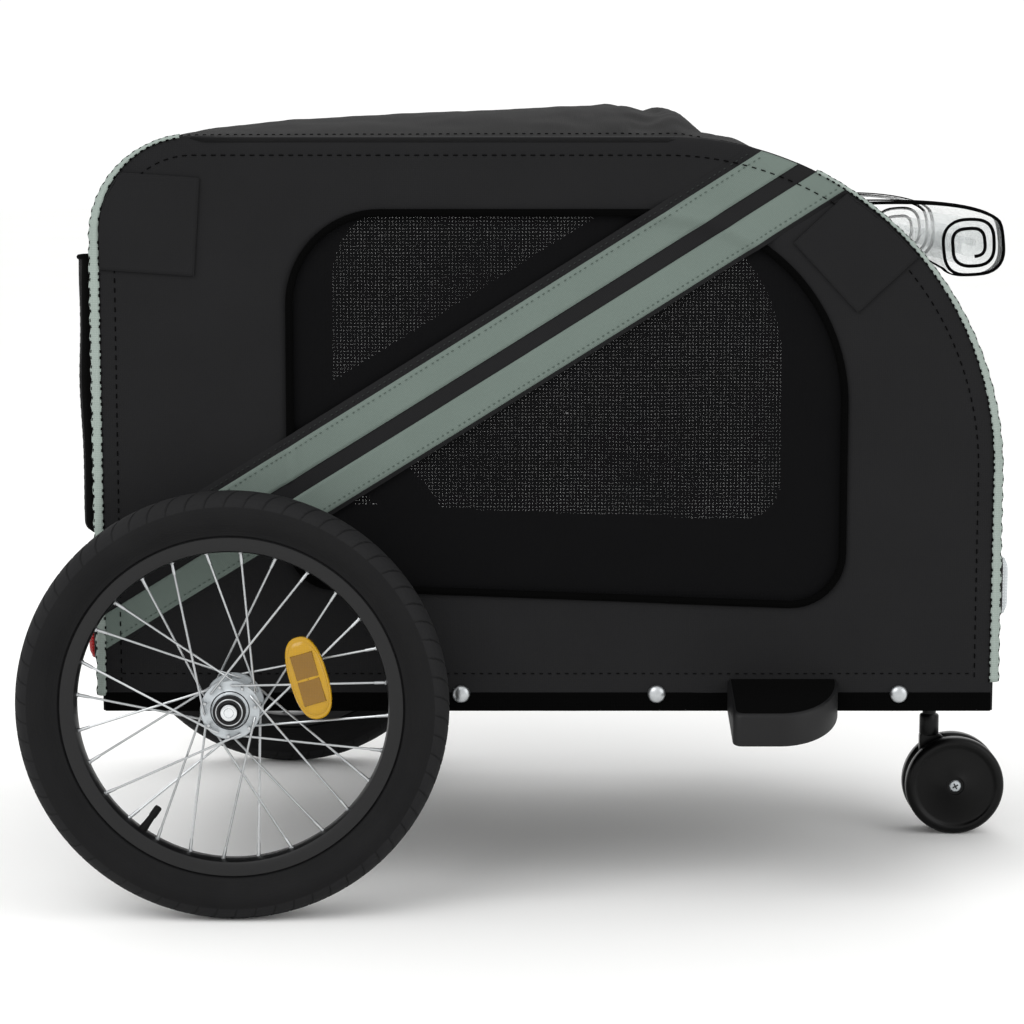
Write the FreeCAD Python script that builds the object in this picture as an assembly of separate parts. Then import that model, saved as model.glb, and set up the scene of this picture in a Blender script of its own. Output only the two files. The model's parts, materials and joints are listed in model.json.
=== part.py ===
"""Dog bike trailer with two spoked wheels, a twin-wheel caster and a folding fabric cabin.

Millimetres. X points forward, Y to the trailer's left, Z up. The origin lies on the ground,
under the middle of the part's length.
"""
import FreeCAD, Part
import math
import os

# Road wheels
WHEEL_DIAMETER = 400.0
TYRE_WIDTH = 44.0
TYRE_WALL = 3.5
TREAD_WIDTH = 22.0
BEAD_WIDTH = 16.0
RIM_DIAMETER = 317.0
RIM_BED_DIAMETER = 287.0
RIM_WIDTH = 24.0
RIM_WALL = 2.5
TRACK = 680.0
VALVE_DIAMETER = 8.0
VALVE_LENGTH = 26.0
VALVE_ANGLE = 234.0

# Hub, spokes and bearings
SPOKE_COUNT = 28
SPOKE_CROSSES = 3
SPOKE_DIAMETER = 2.0
SPOKE_SIDES = 4
SPOKE_HEAD_LENGTH = 1.2
RIM_HOLE_SPREAD = 6.0
LACING_PHASE = 9.0
FLANGE_DIAMETER = 55.0
FLANGE_SPACING = 39.0
FLANGE_THICKNESS = 3.0
SPOKE_CIRCLE_DIAMETER = 47.0
HUB_LENGTH = 48.0
HUB_BARREL_DIAMETER = 32.0

# Push-button axles
AXLE_DIAMETER = 12.0
AXLE_HEAD_DIAMETER = 30.0
AXLE_HEAD_LENGTH = 8.0
AXLE_SOCKET_SIZE = 20.0
AXLE_SOCKET_DEPTH = 19.0
AXLE_STAND_OFF = 1.5
BUTTON_DIAMETER = 16.0
BUTTON_RECESS = 6.0
BUTTON_TRAVEL = 3.0

# Amber reflector clipped to the outer spokes
SPOKE_REFLECTOR_LENGTH = 78.0
SPOKE_REFLECTOR_WIDTH = 35.0
SPOKE_REFLECTOR_THICKNESS = 9.0
SPOKE_REFLECTOR_RADIUS = 77.0
SPOKE_REFLECTOR_ANGLE = 22.0
SPOKE_REFLECTOR_LEAN = 16.0

# Twin-wheel caster
CASTER_DIAMETER = 102.0
CASTER_TRAIL = 25.5
CASTER_WHEEL_WIDTH = 17.0
CASTER_WHEEL_GAP = 10.0
CASTER_TREAD_EDGE = 3.0
CASTER_DISH_DEPTH = 4.0
CASTER_RIM_WIDTH = 9.0
CASTER_AXLE_DIAMETER = 8.0
CASTER_BOLT_DIAMETER = 13.0
CASTER_BOLT_HEIGHT = 3.0
CASTER_STEM_DIAMETER = 14.0
CASTER_STEM_ENGAGEMENT = 30.0
CASTER_COLLAR_DIAMETER = 20.0
CASTER_SOCKET_WALL = 5.0
CASTER_SOCKET_DROP = 8.0

# Fabric cabin, as seen from the side
BODY_LENGTH = 835.0
BODY_HEIGHT = 535.0
BODY_WIDTH = 570.0
HEM_DROP = 15.0
REAR_OVERHANG = 126.5
REAR_CORNER_RADIUS = 90.0
FRONT_CORNER_RADIUS = 310.0
FABRIC = 2.0
HEM_HEIGHT = 17.0
ROOF_OVERLAP_REAR = 26.0
ROOF_OVERLAP_FRONT = 184.0

# Crown of the slack roof above its edges: share of the roof's length, then height
ROOF_CROWN = ((0.0, 1.5), (0.03, 3.0), (0.065, 6.0), (0.10, 9.0), (0.22, 18.0), (0.55, 28.0), (0.71, 32.0),
              (0.82, 27.0), (0.87, 11.0), (0.93, 5.0), (1.0, 1.5))

# Mesh side window, with its edges measured from the cabin's rear, front, top and bottom
WINDOW_FROM_REAR = 178.0
WINDOW_FROM_FRONT = 143.0
WINDOW_FROM_TOP = 70.0
WINDOW_FROM_BOTTOM_REAR = 119.0
WINDOW_FROM_BOTTOM_FRONT = 99.0
WINDOW_RADII = (40.0, 85.0, 178.0, 48.0)
WINDOW_SEAM = 6.0
MESH = 1.0

# Two stripes across each side, from the rear edge up to the roof
STRIPE_WIDTH = 28.0
STRIPE_GAP = 15.0
STRIPE_SLOPE = 31.7
STRIPE_RISE = 252.0
STRIPE_FROM_REAR = 181.5
STRIPE_THICKNESS = 1.0

# Reinforcing patches over the corners of the folding frame
PATCH_SIZE = 90.0
PATCH_THICKNESS = 1.2
REAR_PATCH_BELOW_TOP = 80.0
FRONT_PATCH_ANGLE = 43.0
PATCH_EDGE = 4.0

# Raised trim along the front and rear edges
TRIM_WIDTH = 24.0
TRIM_THICKNESS = 6.0
FRONT_TRIM_TOP_ANGLE = 57.0

# Domed studs along the hem, as shares of the cabin's length from its rear
STUD_DIAMETER = 17.0
STUD_HEIGHT = 4.0
STUD_SHARES = (0.4024, 0.6222, 0.8946)

# Doors and rear pocket
DOOR_WIDTH = 430.0
DOOR_SILL = 60.0
DOOR_GAP = 0.8
REAR_DOOR_HEIGHT = 370.0
FRONT_DOOR_TOP_ANGLE = 26.0
POCKET_WIDTH = 380.0
POCKET_HEIGHT = 266.0
POCKET_DEPTH = 30.0
POCKET_FROM_TOP = 8.0

# Rolled rain cover and its straps
ROLL_RADIUS = 31.0
ROLL_PITCH = 7.0
ROLL_TURNS = 3
ROLL_WIDTH = 490.0
ROLL_STAND_OFF = 46.0
ROLL_ANGLE = 36.0
FILM = 2.0
STRAP_WIDTH = 18.0
STRAP_THICKNESS = 1.5
STRAP_SPACING = 430.0
STRAP_HOLD_RISE = 17.0

# Clear front and red rear reflectors
REFLECTOR_HEIGHT = 54.0
REFLECTOR_WIDTH = 26.0
REFLECTOR_THICKNESS = 9.5
REFLECTOR_INSET = 23.0
FRONT_REFLECTOR_RISE = 89.0
REAR_REFLECTOR_RISE = 47.0

# Chassis
RAIL_SIZE = 25.0
RAIL_WALL = 2.0
RAIL_FROM_FABRIC = 3.0
RAIL_END_GAP = 3.0
CROSS_TUBE_FROM_REAR = 18.0
MID_TUBE_FROM_AXLE = 370.0
CASTER_FROM_FRONT = 16.0
FLOOR_THICKNESS = 5.0
FLOOR_MARGIN = 3.0
DRAWBAR_DIAMETER = 26.0
DRAWBAR_SOCKET_WALL = 3.0
DRAWBAR_SOCKET_LENGTH = 90.0
DRAWBAR_SOCKET_FROM_FRONT = 30.0

# Side deflectors
DEFLECTOR_LENGTH = 103.0
DEFLECTOR_REACH = 78.0
DEFLECTOR_HEIGHT = 30.0
DEFLECTOR_WALL = 4.0
DEFLECTOR_FROM_FRONT = 249.0
DEFLECTOR_FLAT = 42.0
DEFLECTOR_SLOPE = 14.0

# Folding side frames and roof bows
FRAME_TUBE = 19.0
FRAME_WALL = 1.5
FRAME_INSET = 18.0
FOOT_PIN_DIAMETER = 8.0
FOOT_RISE_LEFT = 52.0
FOOT_STACK = 24.0
BRACKET_PLATE = 3.0
BRACKET_MARGIN = 9.0
BOW_TUBE = 14.0
BOW_WALL = 1.5
BOW_DROP = 24.0
BOW_PIN_DIAMETER = 6.0
BOW_END_GAP = 18.0
BOW_STAGGER = 22.0
BOW_SHARES = (0.23, 0.76)
EAR_THICKNESS = 3.0
EAR_MARGIN = 5.0
CLIP_WIDTH = 70.0
CLIP_WALL = 3.0

# Flats on pieces drawn with many sides, and strips across the roof
WHEEL_FLATS = 56
CASTER_FLATS = 44
ROUND_FLATS = 24
BUTTON_FLATS = 16
PIN_FLATS = 12
ROLL_FLATS = 8
ROOF_STRIPS = 6

# Fits
RUNNING = 0.05
SLIDING = 0.1
SEAT = 0.3
SIDE_PLAY = 0.5
SKIN_CLEARANCE = 1.0

# Sizes that follow from the driving ones
WHEEL_RADIUS = WHEEL_DIAMETER / 2
AXLE_Z = WHEEL_RADIUS
CASTER_RADIUS = CASTER_DIAMETER / 2
AXLE_TO_CASTER = BODY_LENGTH - REAR_OVERHANG - CASTER_FROM_FRONT + CASTER_TRAIL
AXLE_X = WHEEL_RADIUS - (WHEEL_RADIUS + AXLE_TO_CASTER + CASTER_RADIUS) / 2
REAR_X = AXLE_X - REAR_OVERHANG
FRONT_X = REAR_X + BODY_LENGTH
STEM_X = FRONT_X - CASTER_FROM_FRONT
BOTTOM_Z = AXLE_Z - HEM_DROP
TOP_Z = BOTTOM_Z + BODY_HEIGHT
HALF_BODY = BODY_WIDTH / 2
HALF_TRACK = TRACK / 2
REAR_ARC_X = REAR_X + REAR_CORNER_RADIUS
REAR_ARC_Z = TOP_Z - REAR_CORNER_RADIUS
FRONT_ARC_X = FRONT_X - FRONT_CORNER_RADIUS
FRONT_ARC_Z = TOP_Z - FRONT_CORNER_RADIUS
ROOF_REAR_X = REAR_X + ROOF_OVERLAP_REAR
ROOF_FRONT_X = FRONT_X - ROOF_OVERLAP_FRONT
RAIL_OUTER_Y = HALF_BODY - FABRIC - RAIL_FROM_FABRIC
RAIL_INNER_Y = RAIL_OUTER_Y - RAIL_SIZE
RAIL_Y = RAIL_OUTER_Y - RAIL_SIZE / 2
RAIL_TOP_Z = AXLE_Z + RAIL_SIZE / 2
RAIL_BOTTOM_Z = AXLE_Z - RAIL_SIZE / 2
RAIL_REAR_X = REAR_X + FABRIC + RAIL_END_GAP
RAIL_FRONT_X = FRONT_X - FABRIC - RAIL_END_GAP
FRONT_TUBE_X = STEM_X - CASTER_STEM_DIAMETER / 2 - CASTER_SOCKET_WALL - RAIL_SIZE / 2
FRAME_TOP_Z = TOP_Z - FRAME_INSET
FOOT_XS = (REAR_X + FRAME_INSET, FRONT_X - FRAME_INSET)
FOOT_RISE = {1: FOOT_RISE_LEFT, -1: FOOT_RISE_LEFT + FOOT_STACK}
BOW_PIVOT_Z = FRAME_TOP_Z - BOW_DROP
DOOR_BOTTOM_Z = BOTTOM_Z + DOOR_SILL
HUB_OUTER_Y = HALF_TRACK + HUB_LENGTH / 2
HUB_INNER_Y = HALF_TRACK - HUB_LENGTH / 2
SIDE_NAMES = {1: "left", -1: "right"}

X_AXIS = FreeCAD.Vector(1, 0, 0)
Y_AXIS = FreeCAD.Vector(0, 1, 0)
Z_AXIS = FreeCAD.Vector(0, 0, 1)
ORIGIN = FreeCAD.Vector(0, 0, 0)


def vec(x, y, z):
    """Return a point or direction."""
    return FreeCAD.Vector(x, y, z)


def box(x_range, y_range, z_range):
    """Return a block between the given low and high coordinates."""
    low = vec(x_range[0], y_range[0], z_range[0])
    return Part.makeBox(x_range[1] - low.x, y_range[1] - low.y, z_range[1] - low.z, low)


def rod(start, axis, radius, length):
    """Return a round bar that starts at a point and runs along an axis."""
    return Part.makeCylinder(radius, length, start, axis)


def flat_bar(start, run, radius, sides):
    """Return a many-sided bar inside a radius, from a point along a run."""
    turn = FreeCAD.Rotation(Z_AXIS, run)
    corners = []
    for k in range(sides + 1):
        angle = 2 * math.pi * (k + 0.5) / sides
        across = vec(math.cos(angle), math.sin(angle), 0) * radius
        corners.append(start + turn.multVec(across))
    return Part.Face(Part.makePolygon(corners)).extrude(run)


def flat_hole(start, run, radius, sides):
    """Return a many-sided bar that clears a radius, for cutting a hole."""
    return flat_bar(start, run, radius / math.cos(math.pi / sides), sides)


def mirrored(shape):
    """Return the shape's mirror image on the other side of the trailer."""
    return shape.mirror(ORIGIN, Y_AXIS)


def on_side(shape, side):
    """Return a piece made for the left, on the left for 1 or on the right for -1."""
    return shape if side > 0 else mirrored(shape)


def both_sides(shape):
    """Return a left-hand piece and its mirror image as one group."""
    return Part.makeCompound([shape, mirrored(shape)])


def rounded_wire(points, radii):
    """Return a closed outline through the points, each corner rounded to its radius."""
    count = len(points)
    edges = []
    entries = []
    exits = []
    middles = []
    for k in range(count):
        corner = points[k]
        before = (points[k - 1] - corner).normalize()
        after = (points[(k + 1) % count] - corner).normalize()
        half = before.getAngle(after) / 2
        reach = radii[k] / math.tan(half)
        entries.append(corner + before * reach)
        exits.append(corner + after * reach)
        bisector = (before + after).normalize()
        middles.append(corner + bisector * (radii[k] / math.sin(half) - radii[k]))
    for k in range(count):
        if radii[k] > 0:
            edges.append(Part.Arc(entries[k], middles[k], exits[k]).toShape())
        following = entries[(k + 1) % count]
        if (following - exits[k]).Length > 1e-6:
            edges.append(Part.LineSegment(exits[k], following).toShape())
    return Part.Wire(edges)


def side_face(corners, radii):
    """Return a face in the plane Y = 0 from (x, z) corners and their radii."""
    return Part.Face(rounded_wire([vec(x, 0, z) for x, z in corners], radii))


def side_plate(face, inner_y, outer_y):
    """Return a plate of the face's outline between two distances on the left side."""
    plate = face.copy()
    plate.translate(vec(0, inner_y, 0))
    return plate.extrude(vec(0, outer_y - inner_y, 0))


def body_face(inset, bottom_z):
    """Return the cabin's side outline, drawn in by an inset at the rear, top and front."""
    rear = REAR_X + inset
    front = FRONT_X - inset
    top = TOP_Z - inset
    corners = ((rear, bottom_z), (rear, top), (front, top), (front, bottom_z))
    radii = (0.0, REAR_CORNER_RADIUS - inset, FRONT_CORNER_RADIUS - inset, 0.0)
    return side_face(corners, radii)


def edge_height(x):
    """Return the height of the cabin's side outline at a place along the roof."""
    if x < REAR_ARC_X:
        return REAR_ARC_Z + math.sqrt(REAR_CORNER_RADIUS ** 2 - (x - REAR_ARC_X) ** 2)
    if x > FRONT_ARC_X:
        return FRONT_ARC_Z + math.sqrt(FRONT_CORNER_RADIUS ** 2 - (x - FRONT_ARC_X) ** 2)
    return TOP_Z


def front_point(angle, offset):
    """Return (x, z) on the front curve at an angle above level, moved out by an offset."""
    reach = FRONT_CORNER_RADIUS + offset
    turn = math.radians(angle)
    return FRONT_ARC_X + reach * math.cos(turn), FRONT_ARC_Z + reach * math.sin(turn)


def roof_crown(x):
    """Return the roof's crown above its edges at a place along it."""
    share = (x - ROOF_REAR_X) / (ROOF_FRONT_X - ROOF_REAR_X)
    for (low, low_rise), (high, high_rise) in zip(ROOF_CROWN, ROOF_CROWN[1:]):
        if share <= high:
            return low_rise + (high_rise - low_rise) * (share - low) / (high - low)
    return ROOF_CROWN[-1][1]


def square_tube(x_range, y_range, z_range, axis):
    """Return a square tube that is open at both ends along the given axis."""
    spans = [list(x_range), list(y_range), list(z_range)]
    outer = box(*spans)
    for k in range(3):
        if k != axis:
            spans[k] = [spans[k][0] + RAIL_WALL, spans[k][1] - RAIL_WALL]
    return outer.cut(box(*spans))


# Chassis

def side_rail():
    """Return the left rail with the cross hole that takes its axle socket."""
    rail = square_tube((RAIL_REAR_X, RAIL_FRONT_X), (RAIL_INNER_Y, RAIL_OUTER_Y),
                       (RAIL_BOTTOM_Z, RAIL_TOP_Z), 0)
    half = AXLE_SOCKET_SIZE / 2 + RUNNING
    return rail.cut(box((AXLE_X - half, AXLE_X + half), (RAIL_INNER_Y, RAIL_OUTER_Y),
                        (AXLE_Z - half, AXLE_Z + half)))


def cross_tube(x):
    """Return a tube between the two rails."""
    half = RAIL_SIZE / 2
    return square_tube((x - half, x + half), (-RAIL_INNER_Y, RAIL_INNER_Y), (RAIL_BOTTOM_Z, RAIL_TOP_Z), 1)


def axle_socket():
    """Return the left steel sleeve that the wheel axle plugs into."""
    half = AXLE_SOCKET_SIZE / 2
    low_y = RAIL_INNER_Y - AXLE_SOCKET_DEPTH
    high_y = HUB_INNER_Y - AXLE_STAND_OFF
    block = box((AXLE_X - half, AXLE_X + half), (low_y, high_y), (AXLE_Z - half, AXLE_Z + half))
    start = vec(AXLE_X, low_y, AXLE_Z)
    return block.cut(flat_hole(start, Y_AXIS * (high_y - low_y), AXLE_DIAMETER / 2 + RUNNING, ROUND_FLATS))


def front_cross_tube():
    """Return the front cross tube with the upright sleeve for the caster on its front."""
    radius = CASTER_STEM_DIAMETER / 2 + CASTER_SOCKET_WALL
    low_z = RAIL_BOTTOM_Z - CASTER_SOCKET_DROP
    height = RAIL_TOP_Z - low_z
    sleeve = rod(vec(STEM_X, 0, low_z), Z_AXIS, radius, height)
    face_x = FRONT_TUBE_X + RAIL_SIZE / 2
    web = box((face_x, STEM_X), (-radius, radius), (RAIL_BOTTOM_Z, RAIL_TOP_Z))
    bore = rod(vec(STEM_X, 0, low_z), Z_AXIS, CASTER_STEM_DIAMETER / 2 + RUNNING, height)
    return cross_tube(FRONT_TUBE_X).fuse(sleeve.fuse(web).cut(bore)).removeSplitter()


def drawbar_socket():
    """Return the receiver under the left rail, open to the front."""
    bore = DRAWBAR_DIAMETER / 2 + SLIDING
    radius = bore + DRAWBAR_SOCKET_WALL
    end_x = FRONT_X - DRAWBAR_SOCKET_FROM_FRONT
    axis_z = RAIL_BOTTOM_Z - radius
    start = vec(end_x - DRAWBAR_SOCKET_LENGTH, RAIL_Y, axis_z)
    sleeve = rod(start, X_AXIS, radius, DRAWBAR_SOCKET_LENGTH)
    saddle = box((start.x, end_x), (RAIL_INNER_Y, RAIL_OUTER_Y), (axis_z, RAIL_BOTTOM_Z))
    return sleeve.fuse(saddle).cut(rod(start, X_AXIS, bore, DRAWBAR_SOCKET_LENGTH))


def floor_board():
    """Return the board that lies on the cross tubes between the rails."""
    half = RAIL_INNER_Y - FLOOR_MARGIN
    low_x = RAIL_REAR_X + FLOOR_MARGIN
    high_x = FRONT_TUBE_X + RAIL_SIZE / 2
    return box((low_x, high_x), (-half, half), (RAIL_TOP_Z, RAIL_TOP_Z + FLOOR_THICKNESS))


def foot_bracket(foot_x, rise):
    """Return a U bracket on the left rail, with the pin that a foot of a folding frame turns on."""
    inner = FRAME_TUBE / 2 + SIDE_PLAY
    outer = inner + BRACKET_PLATE
    top_z = RAIL_TOP_Z + rise + BRACKET_MARGIN
    channel = box((foot_x - outer, foot_x + outer), (RAIL_INNER_Y, RAIL_OUTER_Y), (RAIL_TOP_Z, top_z))
    slot = box((foot_x - inner, foot_x + inner), (RAIL_INNER_Y, RAIL_OUTER_Y),
               (RAIL_TOP_Z + BRACKET_PLATE, top_z))
    pin_start = vec(foot_x - outer, RAIL_Y, RAIL_TOP_Z + rise)
    pin = flat_bar(pin_start, X_AXIS * (2 * outer), FOOT_PIN_DIAMETER / 2, PIN_FLATS)
    return channel.cut(slot).fuse(pin).removeSplitter()


def side_deflector():
    """Return the left moulded deflector: flat behind, rounded in front, sloping down outwards."""
    inner_y = HALF_BODY + FABRIC + SEAT
    rear_x = FRONT_X - DEFLECTOR_FROM_FRONT
    slope = FreeCAD.Rotation(X_AXIS, -DEFLECTOR_SLOPE)
    hinge = vec(0, inner_y, BOTTOM_Z + DEFLECTOR_HEIGHT)
    solids = []
    for wall in (0.0, DEFLECTOR_WALL):
        low_x = rear_x + wall
        high_x = rear_x + DEFLECTOR_LENGTH - wall
        flat_x = rear_x + DEFLECTOR_FLAT
        reach_y = inner_y + DEFLECTOR_REACH - wall
        root_y = inner_y + wall
        bend = math.sqrt(0.5)
        bulge = vec(flat_x + (high_x - flat_x) * bend, root_y + (reach_y - root_y) * bend, 0)
        edges = [Part.LineSegment(vec(low_x, root_y, 0), vec(low_x, reach_y, 0)).toShape(),
                 Part.LineSegment(vec(low_x, reach_y, 0), vec(flat_x, reach_y, 0)).toShape(),
                 Part.Arc(vec(flat_x, reach_y, 0), bulge, vec(high_x, root_y, 0)).toShape(),
                 Part.LineSegment(vec(high_x, root_y, 0), vec(low_x, root_y, 0)).toShape()]
        face = Part.Face(Part.Wire(edges))
        face.translate(vec(0, -inner_y, 0))
        face.Placement = FreeCAD.Placement(hinge, slope).multiply(face.Placement)
        face.translate(vec(0, 0, -wall))
        solids.append(face.extrude(vec(0, 0, -DEFLECTOR_HEIGHT)))
    return solids[0].cut(solids[1])


# Folding frame

def foot_z(side):
    """Return the height of the fold's axis on one side."""
    return RAIL_TOP_Z + FOOT_RISE[side]


def clip_x(share):
    """Return the place along the roof where the two halves of a bow meet."""
    return ROOF_REAR_X + share * (ROOF_FRONT_X - ROOF_REAR_X)


def bow_x(share, side):
    """Return the place of one half of a bow, set off so that the folded halves pass each other."""
    return clip_x(share) - side * BOW_STAGGER / 2


def clip_half_length():
    """Return half the clip's inside length along the roof, over both halves of a bow."""
    return BOW_STAGGER / 2 + BOW_TUBE / 2 + SIDE_PLAY


def bow_tip_z(share):
    """Return the height of a bow's inner end, under its clip at the roof's ridge."""
    half = clip_half_length() + CLIP_WALL
    strip = 2 / ROOF_STRIPS
    level = 1 - CLIP_WIDTH / BODY_WIDTH * strip
    ends = (clip_x(share) - half, clip_x(share) + half)
    ridge = min(edge_height(x) + roof_crown(x) * level for x in ends)
    return ridge - FABRIC - 2 * SEAT - CLIP_WALL - SLIDING - BOW_TUBE / 2


def arch(half, low_z):
    """Return a solid arch of square section along the cabin's outline, on the left."""
    outer = side_plate(body_face(FRAME_INSET - half, low_z), RAIL_Y - half, RAIL_Y + half)
    return outer.cut(side_plate(body_face(FRAME_INSET + half, low_z), RAIL_Y - half, RAIL_Y + half))


def side_frame(side):
    """Return one bent-tube side frame with the ears and pins for its roof bows, on the left."""
    tube = FRAME_TUBE / 2
    low_z = foot_z(side) - tube
    frame = arch(tube, low_z).cut(arch(tube - FRAME_WALL, low_z))
    for foot_x in FOOT_XS:
        start = vec(foot_x - FRAME_TUBE, RAIL_Y, foot_z(side))
        run = X_AXIS * (2 * FRAME_TUBE)
        frame = frame.cut(flat_hole(start, run, FOOT_PIN_DIAMETER / 2 + RUNNING, PIN_FLATS))
    inner = BOW_TUBE / 2 + SIDE_PLAY
    half = BOW_PIN_DIAMETER / 2 + EAR_MARGIN
    for share in BOW_SHARES:
        x = bow_x(share, side)
        for low_x in (x - inner - EAR_THICKNESS, x + inner):
            frame = frame.fuse(box((low_x, low_x + EAR_THICKNESS), (RAIL_Y - half, RAIL_Y + half),
                                   (BOW_PIVOT_Z - half, FRAME_TOP_Z - tube)))
        start = vec(x - inner - EAR_THICKNESS, RAIL_Y, BOW_PIVOT_Z)
        run = X_AXIS * (2 * (inner + EAR_THICKNESS))
        frame = frame.fuse(flat_bar(start, run, BOW_PIN_DIAMETER / 2, PIN_FLATS))
    return frame.removeSplitter()


def roof_bow(share, side):
    """Return one straight half of a roof bow, from its ears to the ridge, on the left."""
    x = bow_x(share, side)
    pivot = vec(x, RAIL_Y, BOW_PIVOT_Z)
    tip = vec(x, BOW_END_GAP / 2, bow_tip_z(share))
    run = (tip - pivot).normalize()
    end = pivot - run * (BOW_TUBE / 2)
    corner = math.sqrt(0.5)
    outer = flat_bar(end, tip - end, BOW_TUBE * corner, 4)
    tube = outer.cut(flat_bar(end, tip - end, (BOW_TUBE - 2 * BOW_WALL) * corner, 4))
    start = vec(x - BOW_TUBE, RAIL_Y, BOW_PIVOT_Z)
    return tube.cut(flat_hole(start, X_AXIS * (2 * BOW_TUBE), BOW_PIN_DIAMETER / 2 + RUNNING, PIN_FLATS))


def ridge_clip(share):
    """Return the clip under the roof that both halves of a bow push up into."""
    x = clip_x(share)
    inner = clip_half_length()
    outer = inner + CLIP_WALL
    tip_z = bow_tip_z(share)
    top_z = tip_z + BOW_TUBE / 2 + SLIDING
    half = CLIP_WIDTH / 2
    block = box((x - outer, x + outer), (-half, half), (tip_z, top_z + CLIP_WALL))
    return block.cut(box((x - inner, x + inner), (-half, half), (tip_z, top_z)))


# Fabric cabin

def window_face():
    """Return the outline of a side window."""
    rear = REAR_X + WINDOW_FROM_REAR
    front = FRONT_X - WINDOW_FROM_FRONT
    top = TOP_Z - WINDOW_FROM_TOP
    corners = ((rear, BOTTOM_Z + WINDOW_FROM_BOTTOM_REAR), (rear, top), (front, top),
               (front, BOTTOM_Z + WINDOW_FROM_BOTTOM_FRONT))
    return side_face(corners, WINDOW_RADII)


def side_panel():
    """Return the left fabric panel with its hem, window opening and notch for the axle socket."""
    inset = FABRIC + SKIN_CLEARANCE
    panel = side_plate(body_face(inset, BOTTOM_Z), HALF_BODY - FABRIC, HALF_BODY)
    hem = box((REAR_X + inset, FRONT_X - inset), (HALF_BODY, HALF_BODY + FABRIC),
              (BOTTOM_Z, BOTTOM_Z + HEM_HEIGHT))
    panel = panel.fuse(hem).cut(side_plate(window_face(), HALF_BODY - FABRIC, HALF_BODY))
    half = AXLE_SOCKET_SIZE / 2 + SEAT
    notch = box((AXLE_X - half, AXLE_X + half), (HALF_BODY - FABRIC, HALF_BODY + FABRIC),
                (BOTTOM_Z, AXLE_Z + half))
    return panel.cut(notch).removeSplitter()


def side_window():
    """Return the left window's mesh, sewn behind the opening with a seam all round."""
    low_x = REAR_X + WINDOW_FROM_REAR - WINDOW_SEAM
    high_x = FRONT_X - WINDOW_FROM_FRONT + WINDOW_SEAM
    low_z = BOTTOM_Z + WINDOW_FROM_BOTTOM_FRONT - WINDOW_SEAM
    high_z = TOP_Z - WINDOW_FROM_TOP + WINDOW_SEAM
    return box((low_x, high_x), (HALF_BODY - FABRIC - MESH, HALF_BODY - FABRIC), (low_z, high_z))


def stripe(index):
    """Return one of the two stripes on the left side, cut to the cabin's outline."""
    turn = math.radians(STRIPE_SLOPE)
    along = vec(math.cos(turn), 0, math.sin(turn))
    across = vec(math.sin(turn), 0, -math.cos(turn))
    anchor = vec(REAR_X + STRIPE_FROM_REAR, 0, BOTTOM_Z + STRIPE_RISE)
    start = anchor + across * (index * (STRIPE_WIDTH + STRIPE_GAP)) - along * BODY_LENGTH
    run = along * (2 * BODY_LENGTH)
    side = across * STRIPE_WIDTH
    face = Part.Face(Part.makePolygon([start, start + run, start + run + side, start + side, start]))
    low_y = HALF_BODY
    band = side_plate(face, low_y, low_y + STRIPE_THICKNESS)
    outline = body_face(FABRIC + SKIN_CLEARANCE, BOTTOM_Z + HEM_HEIGHT)
    return band.common(side_plate(outline, low_y, low_y + STRIPE_THICKNESS))


def corner_patches():
    """Return the rear and front corner patches of the left side."""
    low_x = REAR_X + PATCH_EDGE
    high_z = TOP_Z - REAR_PATCH_BELOW_TOP + PATCH_SIZE / 2
    rear = side_face(((low_x, high_z - PATCH_SIZE), (low_x, high_z), (low_x + PATCH_SIZE, high_z),
                      (low_x + PATCH_SIZE, high_z - PATCH_SIZE)), (0.0,) * 4)
    outer = front_point(FRONT_PATCH_ANGLE, -PATCH_EDGE)
    half = PATCH_SIZE / 2
    front = side_face(((-PATCH_SIZE, -half), (-PATCH_SIZE, half), (0, half), (0, -half)), (0.0,) * 4)
    turn = FreeCAD.Rotation(Y_AXIS, -FRONT_PATCH_ANGLE)
    front.Placement = FreeCAD.Placement(vec(outer[0], 0, outer[1]), turn).multiply(front.Placement)
    outer_y = HALF_BODY + PATCH_THICKNESS
    limit = side_plate(body_face(PATCH_EDGE, BOTTOM_Z), HALF_BODY, outer_y)
    return [side_plate(face, HALF_BODY, outer_y).common(limit) for face in (rear, front)]


def hem_stud(share):
    """Return one stud on the left hem."""
    height = BOTTOM_Z + HEM_HEIGHT - STUD_HEIGHT / 2
    start = vec(REAR_X + share * BODY_LENGTH, HALF_BODY + FABRIC, height)
    return flat_bar(start, Y_AXIS * STUD_HEIGHT, STUD_DIAMETER / 2, PIN_FLATS)


def roof_panel():
    """Return the slack roof, crowned across its width and creased towards the front."""
    sections = []
    span = ROOF_FRONT_X - ROOF_REAR_X - 2 * SEAT
    for share, crown in ROOF_CROWN:
        x = ROOF_REAR_X + SEAT + share * span
        upper = []
        for k in range(ROOF_STRIPS + 1):
            across = 2 * k / ROOF_STRIPS - 1
            upper.append(vec(x, across * HALF_BODY, edge_height(x) + crown * (1 - across ** 2)))
        lower = [point - Z_AXIS * FABRIC for point in reversed(upper)]
        sections.append(Part.makePolygon(upper + lower + upper[:1]))
    return Part.makeLoft(sections, True, True)


def end_skin():
    """Return the fabric that wraps the cabin's rear, top and front, before it is divided."""
    outer = side_plate(body_face(0.0, BOTTOM_Z), -HALF_BODY, HALF_BODY)
    return outer.cut(side_plate(body_face(FABRIC, BOTTOM_Z), -HALF_BODY, HALF_BODY))


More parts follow.
